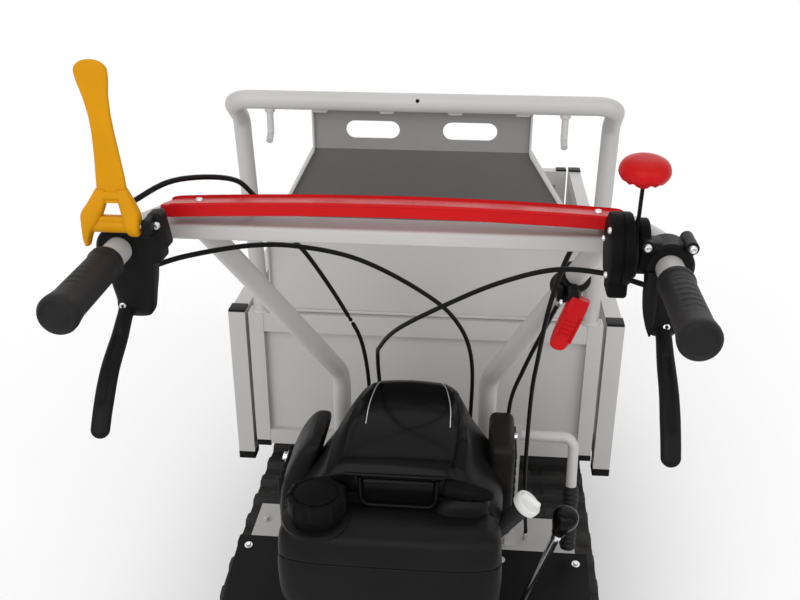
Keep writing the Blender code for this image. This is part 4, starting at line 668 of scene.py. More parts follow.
class BARROW_OT_track_wheels(Maker, bpy.types.Operator):
    """Idlers and rollers inside the tracks, with their axle bolts"""

    bl_idname = "barrow.track_wheels"
    bl_label = "Track wheels"

    def make(self, sizes):
        for name, side in LEFT_AND_RIGHT:
            for wheel in ("front_idler", "front_roller", "rear_roller"):
                node = f"{name}_{wheel}"
                disc, hub = wheel_surfaces(node)
                piece(node + "_wheel", [disc], "soft_rubber", node, (node,))
                piece(node + "_bolts", hub, "zinc_steel", node)
            low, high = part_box(name + "_drive_sprocket")
            outer = high.x if side > 0 else low.x
            places = [(outer, REAR + SPROCKET_Y + y, TRACK_AXIS + z) for y, z in ring(5) * 0.020]
            heads = bolts(places, (side, 0.0, 0.0), 0.005)
            piece(name + "_sprocket_bolts", heads, "zinc_steel", name + "_drive_sprocket")


class BARROW_OT_bed_trim(Maker, bpy.types.Operator):
    """Plastic plugs in the ends of the bed's square posts"""

    bl_idname = "barrow.bed_trim"
    bl_label = "Bed trim"

    def plug(self, x, y, half, bottom):
        """A rounded lid over a post's top and a taller boot on its bottom end."""
        lid = block((x - half, y - half, RAIL + 0.0002), (x + half, y + half, RAIL + 0.0042), 0.0015)
        boot = block((x - half - 0.0006, y - half - 0.0006, bottom - 0.004),
                     (x + half + 0.0006, y + half + 0.0006, bottom + 0.012), 0.0018)
        return [lid, boot]

    def make(self, sizes):
        half = POST_HALF
        for name, side in LEFT_AND_RIGHT:
            low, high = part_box(name + "_side")
            x = (high.x - half) if side > 0 else (low.x + half)
            plugs = self.plug(x, low.y + half, half, low.z) + self.plug(x, high.y - half, half, low.z)
            piece(name + "_side_plugs", plugs, "satin_plastic", name + "_side")
        low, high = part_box("front_gate")
        half = GATE_POST_HALF
        plugs = [part for x in (low.x + half, high.x - half)
                 for part in self.plug(x, high.y - POST_HALF, half, low.z)]
        piece("gate_plugs", plugs, "satin_plastic", "front_gate")
        low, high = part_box("rear_frame")
        boots = [block((x - half - 0.0005, low.y - 0.0005, low.z - 0.003),
                       (x + half + 0.0005, high.y + 0.0005, low.z + 0.010), 0.0018)
                 for x in (low.x + half, high.x - half)]
        piece("rear_frame_plugs", boots, "satin_plastic", "bed")


class BARROW_OT_hoop(Maker, bpy.types.Operator):
    """Bent hoop over the bed's rear end, with its rope hooks and the headboard's folded edges"""

    bl_idname = "barrow.hoop"
    bl_label = "Hoop and headboard"

    def make(self, sizes):
        """A circle carried along a bent path; hooks and folds are smaller sections carried alike."""
        corners = above(HOOP_CORNERS + [(-x, y, z) for x, y, z in reversed(HOOP_CORNERS)])
        frame_tube = tube(bent(corners, sizes.hoop_bend, 10), sizes.hoop, (0.03, 1.0, 0.2), 40)
        hooks = []
        for x in HOOKS_ACROSS:
            path = bent(above([(x, -0.120, 0.394), (x, -0.121, 0.356), (x, -0.134, 0.347)]), 0.008, 6)
            hooks.append(tube(path, 0.0050, ACROSS, 20))
            hooks.append(turned([(0.0, 0.0), (0.0068, 0.0), (0.0078, 0.002), (0.0070, 0.006), (0.0, 0.006)],
                                above((x, -0.120, 0.387)), UP, 28))
        feet = [turned([(0.0, 0.0002), (0.0175, 0.0002), (0.0170, 0.002), (0.0138, 0.0045), (0.0, 0.0045)],
                       above((x, 0.015, 0.0)), UP, 40) for x in (-0.288, 0.288)]
        piece("hoop_tube", [frame_tube, *hooks, *feet], "powder_coat", "bed", ("hoop",))
        hole = rod(0.0028, 0.0, 0.0137, above((-0.004, -0.120, 0.405)), (0.0, -0.92, 0.39), 24)
        piece("hoop_drain_hole", [hole], "grained_plastic", "bed")
        rim = carried(bent(above(BOARD_EDGE), 0.010, 5), oval(0.008, 0.0016, 5.0, 24), ACROSS)
        rims = [mirrored(rim, side) for _, side in LEFT_AND_RIGHT]
        fold = carried(above(np.linspace((-0.266, 0.015, 0.0035), (0.266, 0.015, 0.0035), 12)),
                       oval(0.006, 0.0030, 4.0, 24))
        welds = [block(above((x - 0.011, -0.1175, 0.3860)), above((x + 0.011, -0.1000, 0.3985)), 0.0035)
                 for x in WELDS_ACROSS]
        piece("headboard_folds", [*rims, fold, *welds], "powder_coat", "bed")


def bar_path(bend):
    """Centre line of the right tube: its corners joined by arcs of one bend radius."""
    return bent(above([BAR_FOOT, BAR_KNEE, BAR_TOP, BAR_FLARE, BAR_END]), bend, 12)


def bar_at(y):
    """Point of the grip's straight tube at a place behind the bed."""
    flare, end = np.array(BAR_FLARE), np.array(BAR_END)
    return above(flare + (end - flare) * (y - flare[1]) / (end[1] - flare[1]))


def bar_line():
    """Unit direction of the grip's straight tube."""
    line = np.array(BAR_END) - np.array(BAR_FLARE)
    return line / np.linalg.norm(line)


class BARROW_OT_handlebar(Maker, bpy.types.Operator):
    """Two bent tubes joined by a cross plate, with welded feet"""

    bl_idname = "barrow.handlebar"
    bl_label = "Handlebar"

    def make(self, sizes):
        path = bar_path(sizes.bar_bend)
        path[-1] -= bar_line() * 0.004
        parts = []
        for _, side in LEFT_AND_RIGHT:
            parts.append(mirrored(tube(path, sizes.bar, (1.0, 0.35, 0.0), 40), side))
            x, y, z = above(BAR_FOOT) * (side, 1.0, 1.0)
            parts.append(block((x - 0.022, y - 0.022, z), (x + 0.022, y + 0.022, z + 0.006), 0.0015))
            parts.append(turned([(0.0, 0.0055), (0.0195, 0.0055), (0.019, 0.0075), (0.0145, 0.012),
                                 (0.0, 0.012)], (x, y, z), UP, 40))
            parts += bolts([(x + dx, y + dy, z + 0.006) for dy in (-0.016, 0.016)
                            for dx in (-0.016, 0.016)], UP, 0.0034)
        parts.append(block(*above(CROSS_PLATE), 0.004))
        piece("handlebar_tubes", parts, "powder_coat", "chassis", ("handlebar_frame",))


class BARROW_OT_console(Maker, bpy.types.Operator):
    """Arched bar across the handlebar"""

    bl_idname = "barrow.console"
    bl_label = "Console"

    def make(self, sizes):
        """A rounded section carried across, its top falling to the front.

        The height over the length is a parabola, and the section shrinks over the last stretch to each end.
        """
        _, _, middle, half = extent("console")
        share = np.concatenate([[-1.0, -0.997, -0.988, -0.972], np.linspace(-0.95, 0.95, 39),
                                [0.972, 0.988, 0.997, 1.0]])
        arch = 0.007
        path = np.stack([middle[0] - 0.004 + (half[0] - 0.012) * share, np.full_like(share, middle[1]),
                         middle[2] - arch / 2 + arch * (1.0 - share ** 2)], axis=-1)
        end = np.interp(np.abs(share), (0.0, 0.95, 0.972, 0.988, 0.997, 1.0),
                        (1.0, 1.0, 0.98, 0.93, 0.82, 0.70))
        shape = oval(half[1], half[2] - arch / 2, 7.0, 64)
        front = 0.5 - 0.5 * shape[:, 0] / half[1]
        shape[:, 1] -= 0.011 * front * np.clip(shape[:, 1] / (half[2] - arch / 2), 0.0, 1.0)
        section = shape * end[:, None, None]
        bar = carried(path, section)
        lip = carried(path[4:-4] + (0.0, -half[1] + 0.0015, half[2] - arch / 2 - 0.0016),
                      oval(0.0022, 0.0022, 2.0, 16))
        piece("console_bar", [bar, lip], "red_moulding", "chassis", ("console",))
        crest = middle[2] + half[2] - 0.0062
        fixing = [screw((x, REAR - 0.5175, crest - arch * (x / half[0]) ** 2), (0.0, 0.27, 0.96), 0.004)
                  for x in (-0.215, 0.215)]
        piece("console_screws", fixing, "zinc_steel", "chassis")


class BARROW_OT_grips(Maker, bpy.types.Operator):
    """Moulded grips with ribbed panels and an end flange"""

    bl_idname = "barrow.grips"
    bl_label = "Grips"

    def surface(self, sizes):
        """Radius over length and angle: a flared outline, less two sunk panels, plus the ribs in them."""
        total = sizes.grip
        share = np.concatenate([np.linspace(0.0, 0.10, 8), np.linspace(0.115, 0.80, 150),
                                np.linspace(0.815, 1.0, 16)])
        outline = np.interp(share, (0.0, 0.012, 0.03, 0.075, 0.095, 0.78, 0.86, 0.93, 0.965, 0.985, 1.0),
                            (0.0146, 0.0176, 0.0186, 0.0186, 0.0171, 0.0174, 0.0184, 0.0196, 0.0195, 0.0186,
                             0.0166))
        angle = np.linspace(0.0, 2 * math.pi, 96, endpoint=False)
        along = np.clip((0.5 - np.abs((share - 0.46) / 0.60)) * 40.0, 0.0, 1.0)[:, None]
        around = np.clip((-np.cos(2 * angle) - 0.35) * 9.0, 0.0, 1.0)[None]
        window = along * around
        ribs = np.clip(np.sin(share * total * 2 * math.pi / 0.0112) * 2.2, -0.2, 1.0)[:, None]
        swell = window * (-0.00055 + 0.00040 * ribs)
        profile = np.stack([outline, share * total], axis=-1)
        dish = np.array([(0.0140, total - 0.0004), (0.0128, total - 0.0014), (0.0, total - 0.0014)])
        swell = np.concatenate([swell, np.zeros((3, len(angle)))])
        root = above(BAR_END) - bar_line() * total
        return turned(np.concatenate([profile, dish]), root, bar_line(), len(angle), swell)

    def make(self, sizes):
        surface = self.surface(sizes)
        for name, side in LEFT_AND_RIGHT:
            piece(name + "_grip_rubber", [mirrored(surface, side)], "soft_rubber", "chassis",
                  (name + "_grip",))


class BARROW_OT_perches(Maker, bpy.types.Operator):
    """Clamps on the handlebar that carry the steering levers, with their screws and cable adjusters"""

    bl_idname = "barrow.perches"
    bl_label = "Lever perches"

    def body(self, shift):
        """A clamp ring round the bar and a stack of superellipses that narrows down to the lever's pin."""
        centre = bar_at(CLAMP_Y)
        clamp = turned([(0.0, -0.0172), (0.0222, -0.0172), (0.0248, -0.0145), (0.0248, 0.0145),
                        (0.0222, 0.0172), (0.0, 0.0172)], centre, bar_line(), 48)
        rows = through([(0.372, 0.2805, -0.5825, 0.0195, 0.0150, 4.0),
                        (0.350, 0.2810, -0.5825, 0.0225, 0.0170, 4.0),
                        (0.322, 0.2820, -0.5820, 0.0215, 0.0172, 4.0),
                        (0.300, 0.2820, -0.5825, 0.0185, 0.0145, 3.6),
                        (0.284, 0.2820, -0.5830, 0.0165, 0.0115, 3.2),
                        (0.2765, 0.2820, -0.5830, 0.0120, 0.0075, 2.6)], 6)
        rows[:, 1] -= shift
        rows[:, 3] += 0.25 * shift
        stem = moved(lofted(rows, count=56), ABOVE_RAIL)
        return [clamp, stem]

    def adjuster(self):
        """Turned ferrule and lock nut where the cable leaves the perch."""
        base = above(CABLE_ADJUSTER)
        sleeve = turned([(0.0, 0.0), (0.0052, 0.0), (0.0052, 0.007), (0.0044, 0.009), (0.0044, 0.020),
                         (0.0034, 0.0215), (0.0, 0.0215)], base, AHEAD, 28)
        nut = rod(0.0068, 0.002, 0.0065, base, AHEAD, 6)
        return [sleeve, nut]

    def make(self, sizes):
        pin = above(LEVER_PIVOT)
        pin_head = screw(pin + (0.002, -0.0105, -0.0005), (0.0, -0.96, 0.28), 0.0042)
        for name, side in LEFT_AND_RIGHT:
            parts = self.body(0.0 if side > 0 else 0.010)
            heads = [pin_head]
            if side > 0:
                low = above((0.2505, -0.5985, 0.3640))
                high = above((0.3020, -0.5670, 0.3800))
                parts.append(block(low, high, 0.006))
                for x in (0.2545, 0.2975):
                    place = above((x, -0.6045, 0.3790))
                    parts.append(rod(0.0066, 0.0, 0.035, place, AHEAD, 32, 0.001))
                    heads.append(screw(place, BACK, 0.0042))
                finger = through([(0.352, 0.2640, -0.5960, 0.0072, 0.0070, 3.0),
                                  (0.330, 0.2635, -0.5985, 0.0078, 0.0062, 3.0),
                                  (0.310, 0.2640, -0.6010, 0.0068, 0.0050, 2.6),
                                  (0.294, 0.2652, -0.6030, 0.0042, 0.0034, 2.2),
                                  (0.283, 0.2662, -0.6040, 0.0010, 0.0010, 2.0)], 6)
                parts.append(moved(lofted(finger, count=32), ABOVE_RAIL))
            else:
                for low, high, lean in (((0.2295, -0.5990, 0.3560), (0.2455, -0.5760, 0.3955), 9.0),
                                        ((0.2360, -0.5990, 0.3400), (0.2660, -0.5680, 0.3735), 0.0),
                                        ((0.2375, -0.6195, 0.3760), (0.2462, -0.5960, 0.3955), 0.0)):
                    low, high = above(low), above(high)
                    lump = block(low, high, 0.0045)
                    parts.append(swung(lump, (low + high) / 2, AHEAD, math.radians(lean)))
                heads.append(screw(above((0.2365, -0.5990, 0.3840)), BACK, 0.0042))
                pivot = above(CLUTCH_PIVOT) * (-1.0, 1.0, 1.0)
                heads.append(rod(0.0034, -0.0390, 0.0310, pivot, ACROSS, 24))
            piece(name + "_perch", [mirrored(part, side) for part in parts], "satin_plastic", "chassis",
                  (name + "_lever_bracket",))
            piece(name + "_perch_screws", [mirrored(part, side) for part in heads + self.adjuster()],
                  "zinc_steel", "chassis")


class BARROW_OT_steering_levers(Maker, bpy.types.Operator):
    """Long curved levers under the grips"""

    bl_idname = "barrow.steering_levers"
    bl_label = "Steering levers"

    def surface(self):
        """An oval section carried along the blade's curve, with a groove sunk along the hand's face.

        The width swells from the eye, and over the last stretch it follows a quarter circle to the tip.
        """
        route = np.array([(0.0, 0.000, 0.000), (0.0, -0.020, -0.013), (0.0, -0.037, -0.025),
                          (0.0, -0.072, -0.045), (0.0, -0.098, -0.070), (0.0, -0.113, -0.089),
                          (0.0, -0.1190, -0.0980)])
        curve = through(route, 14) + above(LEVER_PIVOT)
        start = 0.94
        share = np.concatenate([np.linspace(0.0, start, 72),
                                start + (1 - start) * np.sin(np.linspace(0.06, math.pi / 2, 16))])
        path = spaced(curve, share)
        tip = np.sqrt(np.clip(1.0 - (np.clip(share - start, 0.0, None) / (1 - start)) ** 2, 0.0004, 1.0))
        wide = np.interp(share, (0.0, 0.12, 0.35, 0.7, 1.0), (0.0085, 0.0080, 0.0092, 0.0100, 0.0096)) * tip
        thick = np.interp(share, (0.0, 0.12, 0.35, 1.0), (0.0080, 0.0068, 0.0062, 0.0058)) * tip
        shape = oval(1.0, 1.0, 2.6, 48)
        groove = np.clip((0.5 - np.abs((share - 0.52) / 0.56)) * 14.0, 0.0, 1.0)[:, None]
        face = np.clip(shape[:, 0], 0.0, 1.0) ** 2 * np.exp(-(shape[:, 1] / 0.34) ** 4)
        depth = shape[:, 0] * thick[:, None] - 0.0028 * groove * face
        section = np.stack([depth, shape[:, 1] * wide[:, None]], axis=-1)
        return carried(path, section, ACROSS)

    def make(self, sizes):
        pivot = above(LEVER_PIVOT)
        eye = rod(0.0095, -0.0094, 0.0094, pivot, ACROSS, 40, 0.001)
        for name, side in LEFT_AND_RIGHT:
            piece(name + "_lever_blade", [mirrored(self.surface(), side), mirrored(eye, side)],
                  "satin_plastic", name + "_steering_lever", (name + "_steering_lever",))


class BARROW_OT_clutch_lever(Maker, bpy.types.Operator):
    """Amber paddle with a forked foot"""

    bl_idname = "barrow.clutch_lever"
    bl_label = "Clutch lever"

    def make(self, sizes):
        """A flat oval section carried up the paddle, narrow in the middle and widest at its rounded top.

        Two plates spread from its foot: the outer one reaches past the clamp, the inner one rounds the pin.
        """
        pivot = above(CLUTCH_PIVOT)
        knots = np.array([(0.0045, 0.000, 0.024), (0.0043, 0.001, 0.040), (0.0037, 0.001, 0.070),
                          (0.0028, -0.001, 0.105), (0.0016, -0.004, 0.135), (0.0010, -0.0055, 0.152),
                          (0.0006, -0.0065, 0.1655)])
        curve = through(knots, 12) + pivot
        start = 0.91
        round_end = np.sin(np.linspace(0.08, math.pi / 2, 18))
        share = np.concatenate([np.linspace(0.0, start, 60), start + (1 - start) * round_end])
        path = spaced(curve, share)
        tip = (1.0 - np.clip((share - start) / (1 - start), 0.0, 0.9998) ** 2.2) ** 0.48
        wide = np.interp(share, (0.0, 0.17, 0.34, 0.5, 0.62, 0.75, 0.87, 1.0),
                         (0.0158, 0.0146, 0.0126, 0.0110, 0.0108, 0.0124, 0.0158, 0.0172)) * tip
        thick = np.interp(share, (0.0, 0.3, 1.0), (0.0052, 0.0044, 0.0040)) * tip
        shape = oval(1.0, 1.0, 3.0, 44)
        hollow = 0.0016 * np.clip(-shape[:, 1], 0.0, 1.0) * (1.0 - shape[:, 0] ** 2)
        deep = shape[:, 1] * thick[:, None] + hollow * tip[:, None]
        section = np.stack([shape[:, 0] * wide[:, None], deep], axis=-1)
        paddle = carried(path, section, AHEAD)
        outer = [(0.038, -0.0065, 0.0, 0.0055, 0.0046, 3.0), (0.026, -0.0110, 0.0, 0.0090, 0.0066, 3.2),
                 (0.013, -0.0182, 0.0, 0.0110, 0.0086, 3.2), (0.003, -0.0212, 0.0, 0.0088, 0.0096, 3.4),
                 (-0.006, -0.0245, 0.0, 0.0055, 0.0092, 3.4), (-0.014, -0.0264, 0.0, 0.0036, 0.0080, 3.4),
                 (-0.022, -0.0272, 0.0, 0.0022, 0.0052, 3.0)]
        inner = [(0.038, 0.0150, 0.0, 0.0055, 0.0046, 3.0), (0.026, 0.0178, 0.0, 0.0078, 0.0066, 3.2),
                 (0.013, 0.0212, 0.0, 0.0088, 0.0084, 3.2), (0.000, 0.0222, 0.0, 0.0078, 0.0104, 3.2),
                 (-0.007, 0.0226, 0.0, 0.0062, 0.0078, 3.0), (-0.0105, 0.0230, 0.0, 0.0046, 0.0040, 3.0)]
        cheeks = [moved(lofted(through(rows, 6), count=40), pivot) for rows in (outer, inner)]
        bars = [block(pivot + (-0.0100, -0.0050, 0.0270), pivot + (0.0180, 0.0050, 0.0360), 0.003),
                block(pivot + (-0.0215, -0.0060, 0.0030), pivot + (0.0235, 0.0040, 0.0105), 0.0025)]
        barrel = rod(0.0076, -0.0260, 0.0270, pivot, ACROSS, 40, 0.001)
        piece("clutch_paddle", [paddle, *cheeks, *bars, barrel], "amber_moulding", "clutch_lever",
              ("clutch_lever",))


class BARROW_OT_throttle(Maker, bpy.types.Operator):
    """Round throttle box, its lever and the red knob"""

    bl_idname = "barrow.throttle"
    bl_label = "Throttle"

    def knob(self, sizes):
        """A mushroom profile turned round the stalk; under the rim the height drops with a raised cosine."""
        profile = np.array([(0.0, 0.0), (0.0062, 0.0), (0.0072, 0.002), (0.0066, 0.0075), (0.0110, 0.0092),
                            (0.0185, 0.0098), (0.0245, 0.0118), (0.0274, 0.0158), (0.0280, 0.0200),
                            (0.0268, 0.0255), (0.0228, 0.0312), (0.0150, 0.0348), (0.0070, 0.0358),
                            (0.0, 0.0360)])
        dense = through(profile * (0.89, 0.84), 5)
        dense[:, 0] = np.clip(dense[:, 0], 0.0, None)
        base = above(KNOB_BASE)
        lean, first, second = axes_of(np.array(KNOB_BASE) - np.array(STALK_ELBOW))
        count = 112
        circle = ring(count)
        angle = np.linspace(0.0, 2 * math.pi, count, endpoint=False)
        skirt = np.exp(-((dense[:, 0] - 0.0182) / 0.0042) ** 2) * (dense[:, 1] < 0.011)
        drop = -0.0021 * skirt[:, None] * np.clip(np.cos(sizes.scallops * angle), 0.0, 1.0)[None]
        height = dense[:, 1:] + drop
        points = (base + dense[:, :1, None] * (circle[:, :1] * first + circle[:, 1:] * second)[None]
                  + height[..., None] * lean)
        return skin(points)

    def make(self, sizes):
        y, z = THROTTLE_AXIS
        base = above((0.2185, y, z + 0.005))
        drum = turned([(0.0, 0.0), (0.0335, 0.0), (0.0362, 0.0012), (0.0370, 0.004), (0.0370, 0.0105),
                       (0.0358, 0.0112), (0.0358, 0.0124), (0.0370, 0.0131), (0.0370, 0.0195),
                       (0.0356, 0.0222), (0.0335, 0.0229), (0.0, 0.0229)], base, ACROSS, 96)
        foot = block(above((0.2200, -0.6035, 0.3225)), above((0.2400, -0.5700, 0.3450)), 0.004)
        rear_drum = turned([(0.0, 0.0), (0.0275, 0.0), (0.0285, 0.001), (0.0285, 0.0090), (0.0270, 0.0105),
                            (0.0, 0.0105)], above((0.2484, y + 0.012, z + 0.004)), ACROSS, 72)
        piece("throttle_box", [drum, foot, rear_drum], "grained_plastic", "chassis", ("throttle_housing",))
        cover = [screw(base + (0.0003, dy, dz), LEFTWARD, 0.0034) for dy, dz in (ring(3) * 0.027).tolist()]
        piece("throttle_box_screws", cover, "zinc_steel", "chassis")
        hub = turned([(0.0, 0.0), (0.0240, 0.0), (0.0245, 0.0008), (0.0245, 0.0040), (0.0240, 0.0045),
                      (0.0, 0.0045)], above((0.2418, y, z)), ACROSS, 72)
        stalk = np.array([(0.2445, y, 0.376), (0.2446, -0.5865, 0.390), STALK_ELBOW,
                          (0.2455, -0.590, 0.4215), KNOB_BASE])
        strip = carried(above(through(stalk, 6)), oval(0.0030, 0.0018, 4.0, 24), ACROSS)
        piece("throttle_arm", [hub, strip], "satin_plastic", "throttle", ("throttle_lever",))
        piece("throttle_mushroom", [self.knob(sizes)], "red_moulding", "throttle", ("throttle_knob",))


class BARROW_OT_release(Maker, bpy.types.Operator):
    """Clamp and red trigger that release the bed"""

    bl_idname = "barrow.release"
    bl_label = "Tip release"

    def make(self, sizes):
        """The clamp is a turned ring with two collars, the trigger a stack of superellipses with ridges."""
        knee, top = above(BAR_KNEE), above(BAR_TOP)
        line = (top - knee) / np.linalg.norm(top - knee)
        centre = knee + (top - knee) * RELEASE_SHARE
        clamp = turned([(0.0, -0.018), (0.0190, -0.018), (0.0210, -0.016), (0.0210, -0.011),
                        (0.0195, -0.0095), (0.0195, 0.0095), (0.0210, 0.011), (0.0210, 0.016),
                        (0.0190, 0.018), (0.0, 0.018)], centre, line, 48)
        pin = above(RELEASE_PIN)
        lug = block(pin + (-0.0070, -0.0060, -0.0060), pin + (0.0070, 0.0330, 0.0155), 0.003)
        ear = block(pin + (-0.0190, 0.0100, -0.0050), pin + (-0.0100, 0.0340, 0.0150), 0.003)
        piece("release_clamp", [clamp, lug, ear], "satin_plastic", "chassis", ("release_bracket",))
        heads = [screw(pin + (end * 0.0130, 0.0, 0.0), (end, 0.0, 0.0), 0.0036) for end in (-1.0, 1.0)]
        piece("release_screws", heads, "zinc_steel", "chassis")
        rows = through([(0.0075, 0.0, 0.0000, 0.0122, 0.0070, 4.0),
                        (-0.004, 0.0, -0.0005, 0.0130, 0.0088, 4.0),
                        (-0.020, 0.0, -0.0010, 0.0130, 0.0090, 4.0),
                        (-0.040, 0.0, -0.0010, 0.0126, 0.0086, 3.6),
                        (-0.056, 0.0, -0.0012, 0.0112, 0.0074, 3.2),
                        (-0.063, 0.0, -0.0012, 0.0090, 0.0056, 2.8),
                        (-0.066, 0.0, -0.0012, 0.0050, 0.0030, 2.4)], 6)
        tongue = moved(lofted(rows, count=56), pin)
        ridges = [block(pin + (-0.0075, -0.0112, z), pin + (0.0075, -0.0080, z + 0.0022), 0.001)
                  for z in (-0.024, -0.030, -0.036, -0.042)]
        rails = [block(pin + (x - 0.0016, -0.0115, -0.050), pin + (x + 0.0016, -0.0070, -0.014), 0.0014)
                 for x in (-0.0102, 0.0102)]
        tilted = [moved(swung(part, pin, AHEAD, RELEASE_TILT), (0.006, 0.0, 0.0))
                  for part in (tongue, *ridges, *rails)]
        piece("release_tongue", tilted, "red_moulding", "release_trigger", ("release_trigger",))


class BARROW_OT_cables(Maker, bpy.types.Operator):
    """Bowden cables with a metal ferrule at each end"""

    bl_idname = "barrow.cables"
    bl_label = "Cables"

    def make(self, sizes):
        """A circle carried along a curve through the route's places, straight at both ends."""
        for name, route in CABLE_ROUTES.items():
            knots = above(route)
            path = np.concatenate([knots[:1], through(knots[1:-1], 8), knots[-1:]])
            up = (0.25, 0.5, -0.83) if name != "throttle_cable" else (0.98, 0.1, 0.15)
            piece(name + "_sheath", [tube(path, sizes.cable, up, 20)], "satin_plastic", "chassis", (name,))
            ferrule = [(0.0, 0.0), (0.0040, 0.0), (0.0040, 0.010), (0.0034, 0.012), (0.0, 0.012)]
            ends = [turned(ferrule, base, ahead - base, 24) for base, ahead in (knots[:2], knots[:-3:-1])]
            piece(name + "_ferrules", ends, "zinc_steel", "chassis")


class BARROW_OT_engine_covers(Maker, bpy.types.Operator):
    """Cooling shroud with its gloss insert, fuel tank, air filter cover and muffler"""

    bl_idname = "barrow.engine_covers"
    bl_label = "Engine covers"

    def hood(self, lift=0.0, top_only=False):
        """A loft along Y: each section rises straight, leans in and rounds over to a narrow top.

        Over the length the top climbs and narrows away from the operator. Lift raises the skin, and top_only
        leaves out the flanks and closes the top with a copy of itself 4 mm lower.
        """
        table = np.array([(-0.4580, 0.628, 0.080, 0.128, -0.0090), (-0.4560, 0.648, 0.084, 0.134, -0.0085),
                          (-0.4500, 0.660, 0.086, 0.137, -0.0080), (-0.4350, 0.671, 0.087, 0.138, -0.0060),
                          (-0.4000, 0.688, 0.085, 0.138, -0.0030), (-0.3600, 0.699, 0.077, 0.134, 0.0000),
                          (-0.3200, 0.704, 0.067, 0.128, 0.0025), (-0.2950, 0.702, 0.060, 0.120, 0.0030),
                          (-0.2800, 0.690, 0.055, 0.112, 0.0030), (-0.2720, 0.668, 0.048, 0.104, 0.0030)])
        y, top, narrow, wide, middle = through(table, 6).T
        foot, waist = HOOD_FOOT, HOOD_WAIST
        flank = np.stack([wide - 0.003, wide, wide, wide * 0.45 + narrow * 0.55, narrow + 0.004,
                          narrow - 0.010, narrow - 0.030, 0.0 * wide])
        rise = np.stack([foot + 0.0 * top, foot + 0.014 + 0.0 * top, waist + 0.0 * top,
                         waist * 0.45 + (top - 0.014) * 0.55, top - 0.012, top - 0.003, top, top + 0.0015])
        rise = np.minimum(rise, np.maximum(top + 0.0015, foot + 0.02))
        if top_only:
            flank, rise = flank[4:], rise[4:]
        right = through(np.concatenate([flank, rise], axis=1), 6)
        out, up = right[:, :len(y)].T, right[:, len(y):].T + lift
        x = np.concatenate([middle[:, None] + out, middle[:, None] - out[:, -2::-1]], axis=1)
        z = np.concatenate([up, up[:, -2::-1]], axis=1)
        if top_only:
            x = np.concatenate([x, x[:, ::-1]], axis=1)
            z = np.concatenate([z, z[:, ::-1] - 0.004], axis=1)
        grid = np.stack([x, np.broadcast_to(y[:, None], x.shape), z], axis=-1)
        return moved(skin(grid), ON_GROUND)

    def make(self, sizes):
        ledge = lofted(through([(0.5990, 0.080, -0.4480, 0.0400, 0.0300, 3.0),
                                (0.6120, 0.083, -0.4500, 0.0360, 0.0260, 3.0),
                                (0.6220, 0.086, -0.4540, 0.0300, 0.0200, 3.0),
                                (0.6275, 0.088, -0.4580, 0.0220, 0.0120, 3.0)], 5), count=48)
        piece("shroud_shell", [self.hood(), moved(ledge, ON_GROUND)], "hood_plastic", "chassis",
              ("engine_shroud",))
        piece("shroud_insert", [self.hood(0.0016, True)], "gloss_plastic", "chassis")
        stripes = []
        for near, far in ((-0.052, -0.040), (0.062, 0.046)):
            line = through([(near, -0.395, 0.6915), (near * 0.98, -0.360, 0.7015),
                            (0.5 * (near + far), -0.320, 0.7063), (far, -0.298, 0.7045)], 8) + ON_GROUND
            stripes.append(tube(line, 0.0007, ACROSS, 12))
        piece("shroud_stripes", stripes, "zinc_steel", "chassis")
        # Rim and sill round the handle well; the darker gloss panel inside them is painted shade for the
        # recess.
        rim = bent(grounded([(-0.053, -0.4590, 0.650), (-0.051, -0.4640, 0.612), (0.047, -0.4640, 0.612),
                             (0.049, -0.4590, 0.650)]), 0.012, 8)
        sill = np.linspace((-0.074, -0.4565, 0.652), (0.056, -0.4565, 0.652), 24) + ON_GROUND
        well = [carried(rim, oval(0.0030, 0.0045, 3.0, 24), AHEAD), tube(sill, 0.0024, UP, 16),
                moved(block((-0.050, -0.4620, 0.6090), (0.046, -0.4540, 0.6480), 0.0035), ON_GROUND)]
        piece("shroud_tray", well, "gloss_plastic", "chassis")
        self.tank()
        self.sides()

    def tank(self):
        """Superellipses with a full belly, a seam drawn in below the top and rounded edges."""
        x, y = TANK_CENTRE
        rows = through([(0.4712, x, y, 0.1240, 0.0300, 3.6), (0.476, x, y, 0.1370, 0.0372, 3.8),
                        (0.492, x, y, 0.1450, 0.0412, 4.2), (0.530, x, y, 0.1475, 0.0422, 4.6),
                        (0.5560, x, y, 0.1466, 0.0420, 4.6), (0.5600, x, y, 0.1440, 0.0400, 4.6),
                        (0.5640, x, y, 0.1462, 0.0418, 4.6), (0.588, x, y, 0.1440, 0.0412, 4.6),
                        (0.600, x, y + 0.002, 0.1385, 0.0380, 4.4),
                        (0.6075, x, y + 0.006, 0.1260, 0.0290, 4.0)], 6)
        shell = moved(lofted(rows, count=96), ON_GROUND)
        neck = turned([(0.0, -0.004), (0.0455, -0.004), (0.0455, 0.0002), (0.0430, 0.0016), (0.0, 0.0016)],
                      grounded(FUEL_NECK), UP, 64)
        piece("tank_shell", [shell, neck], "satin_plastic", "chassis", ("fuel_tank",))

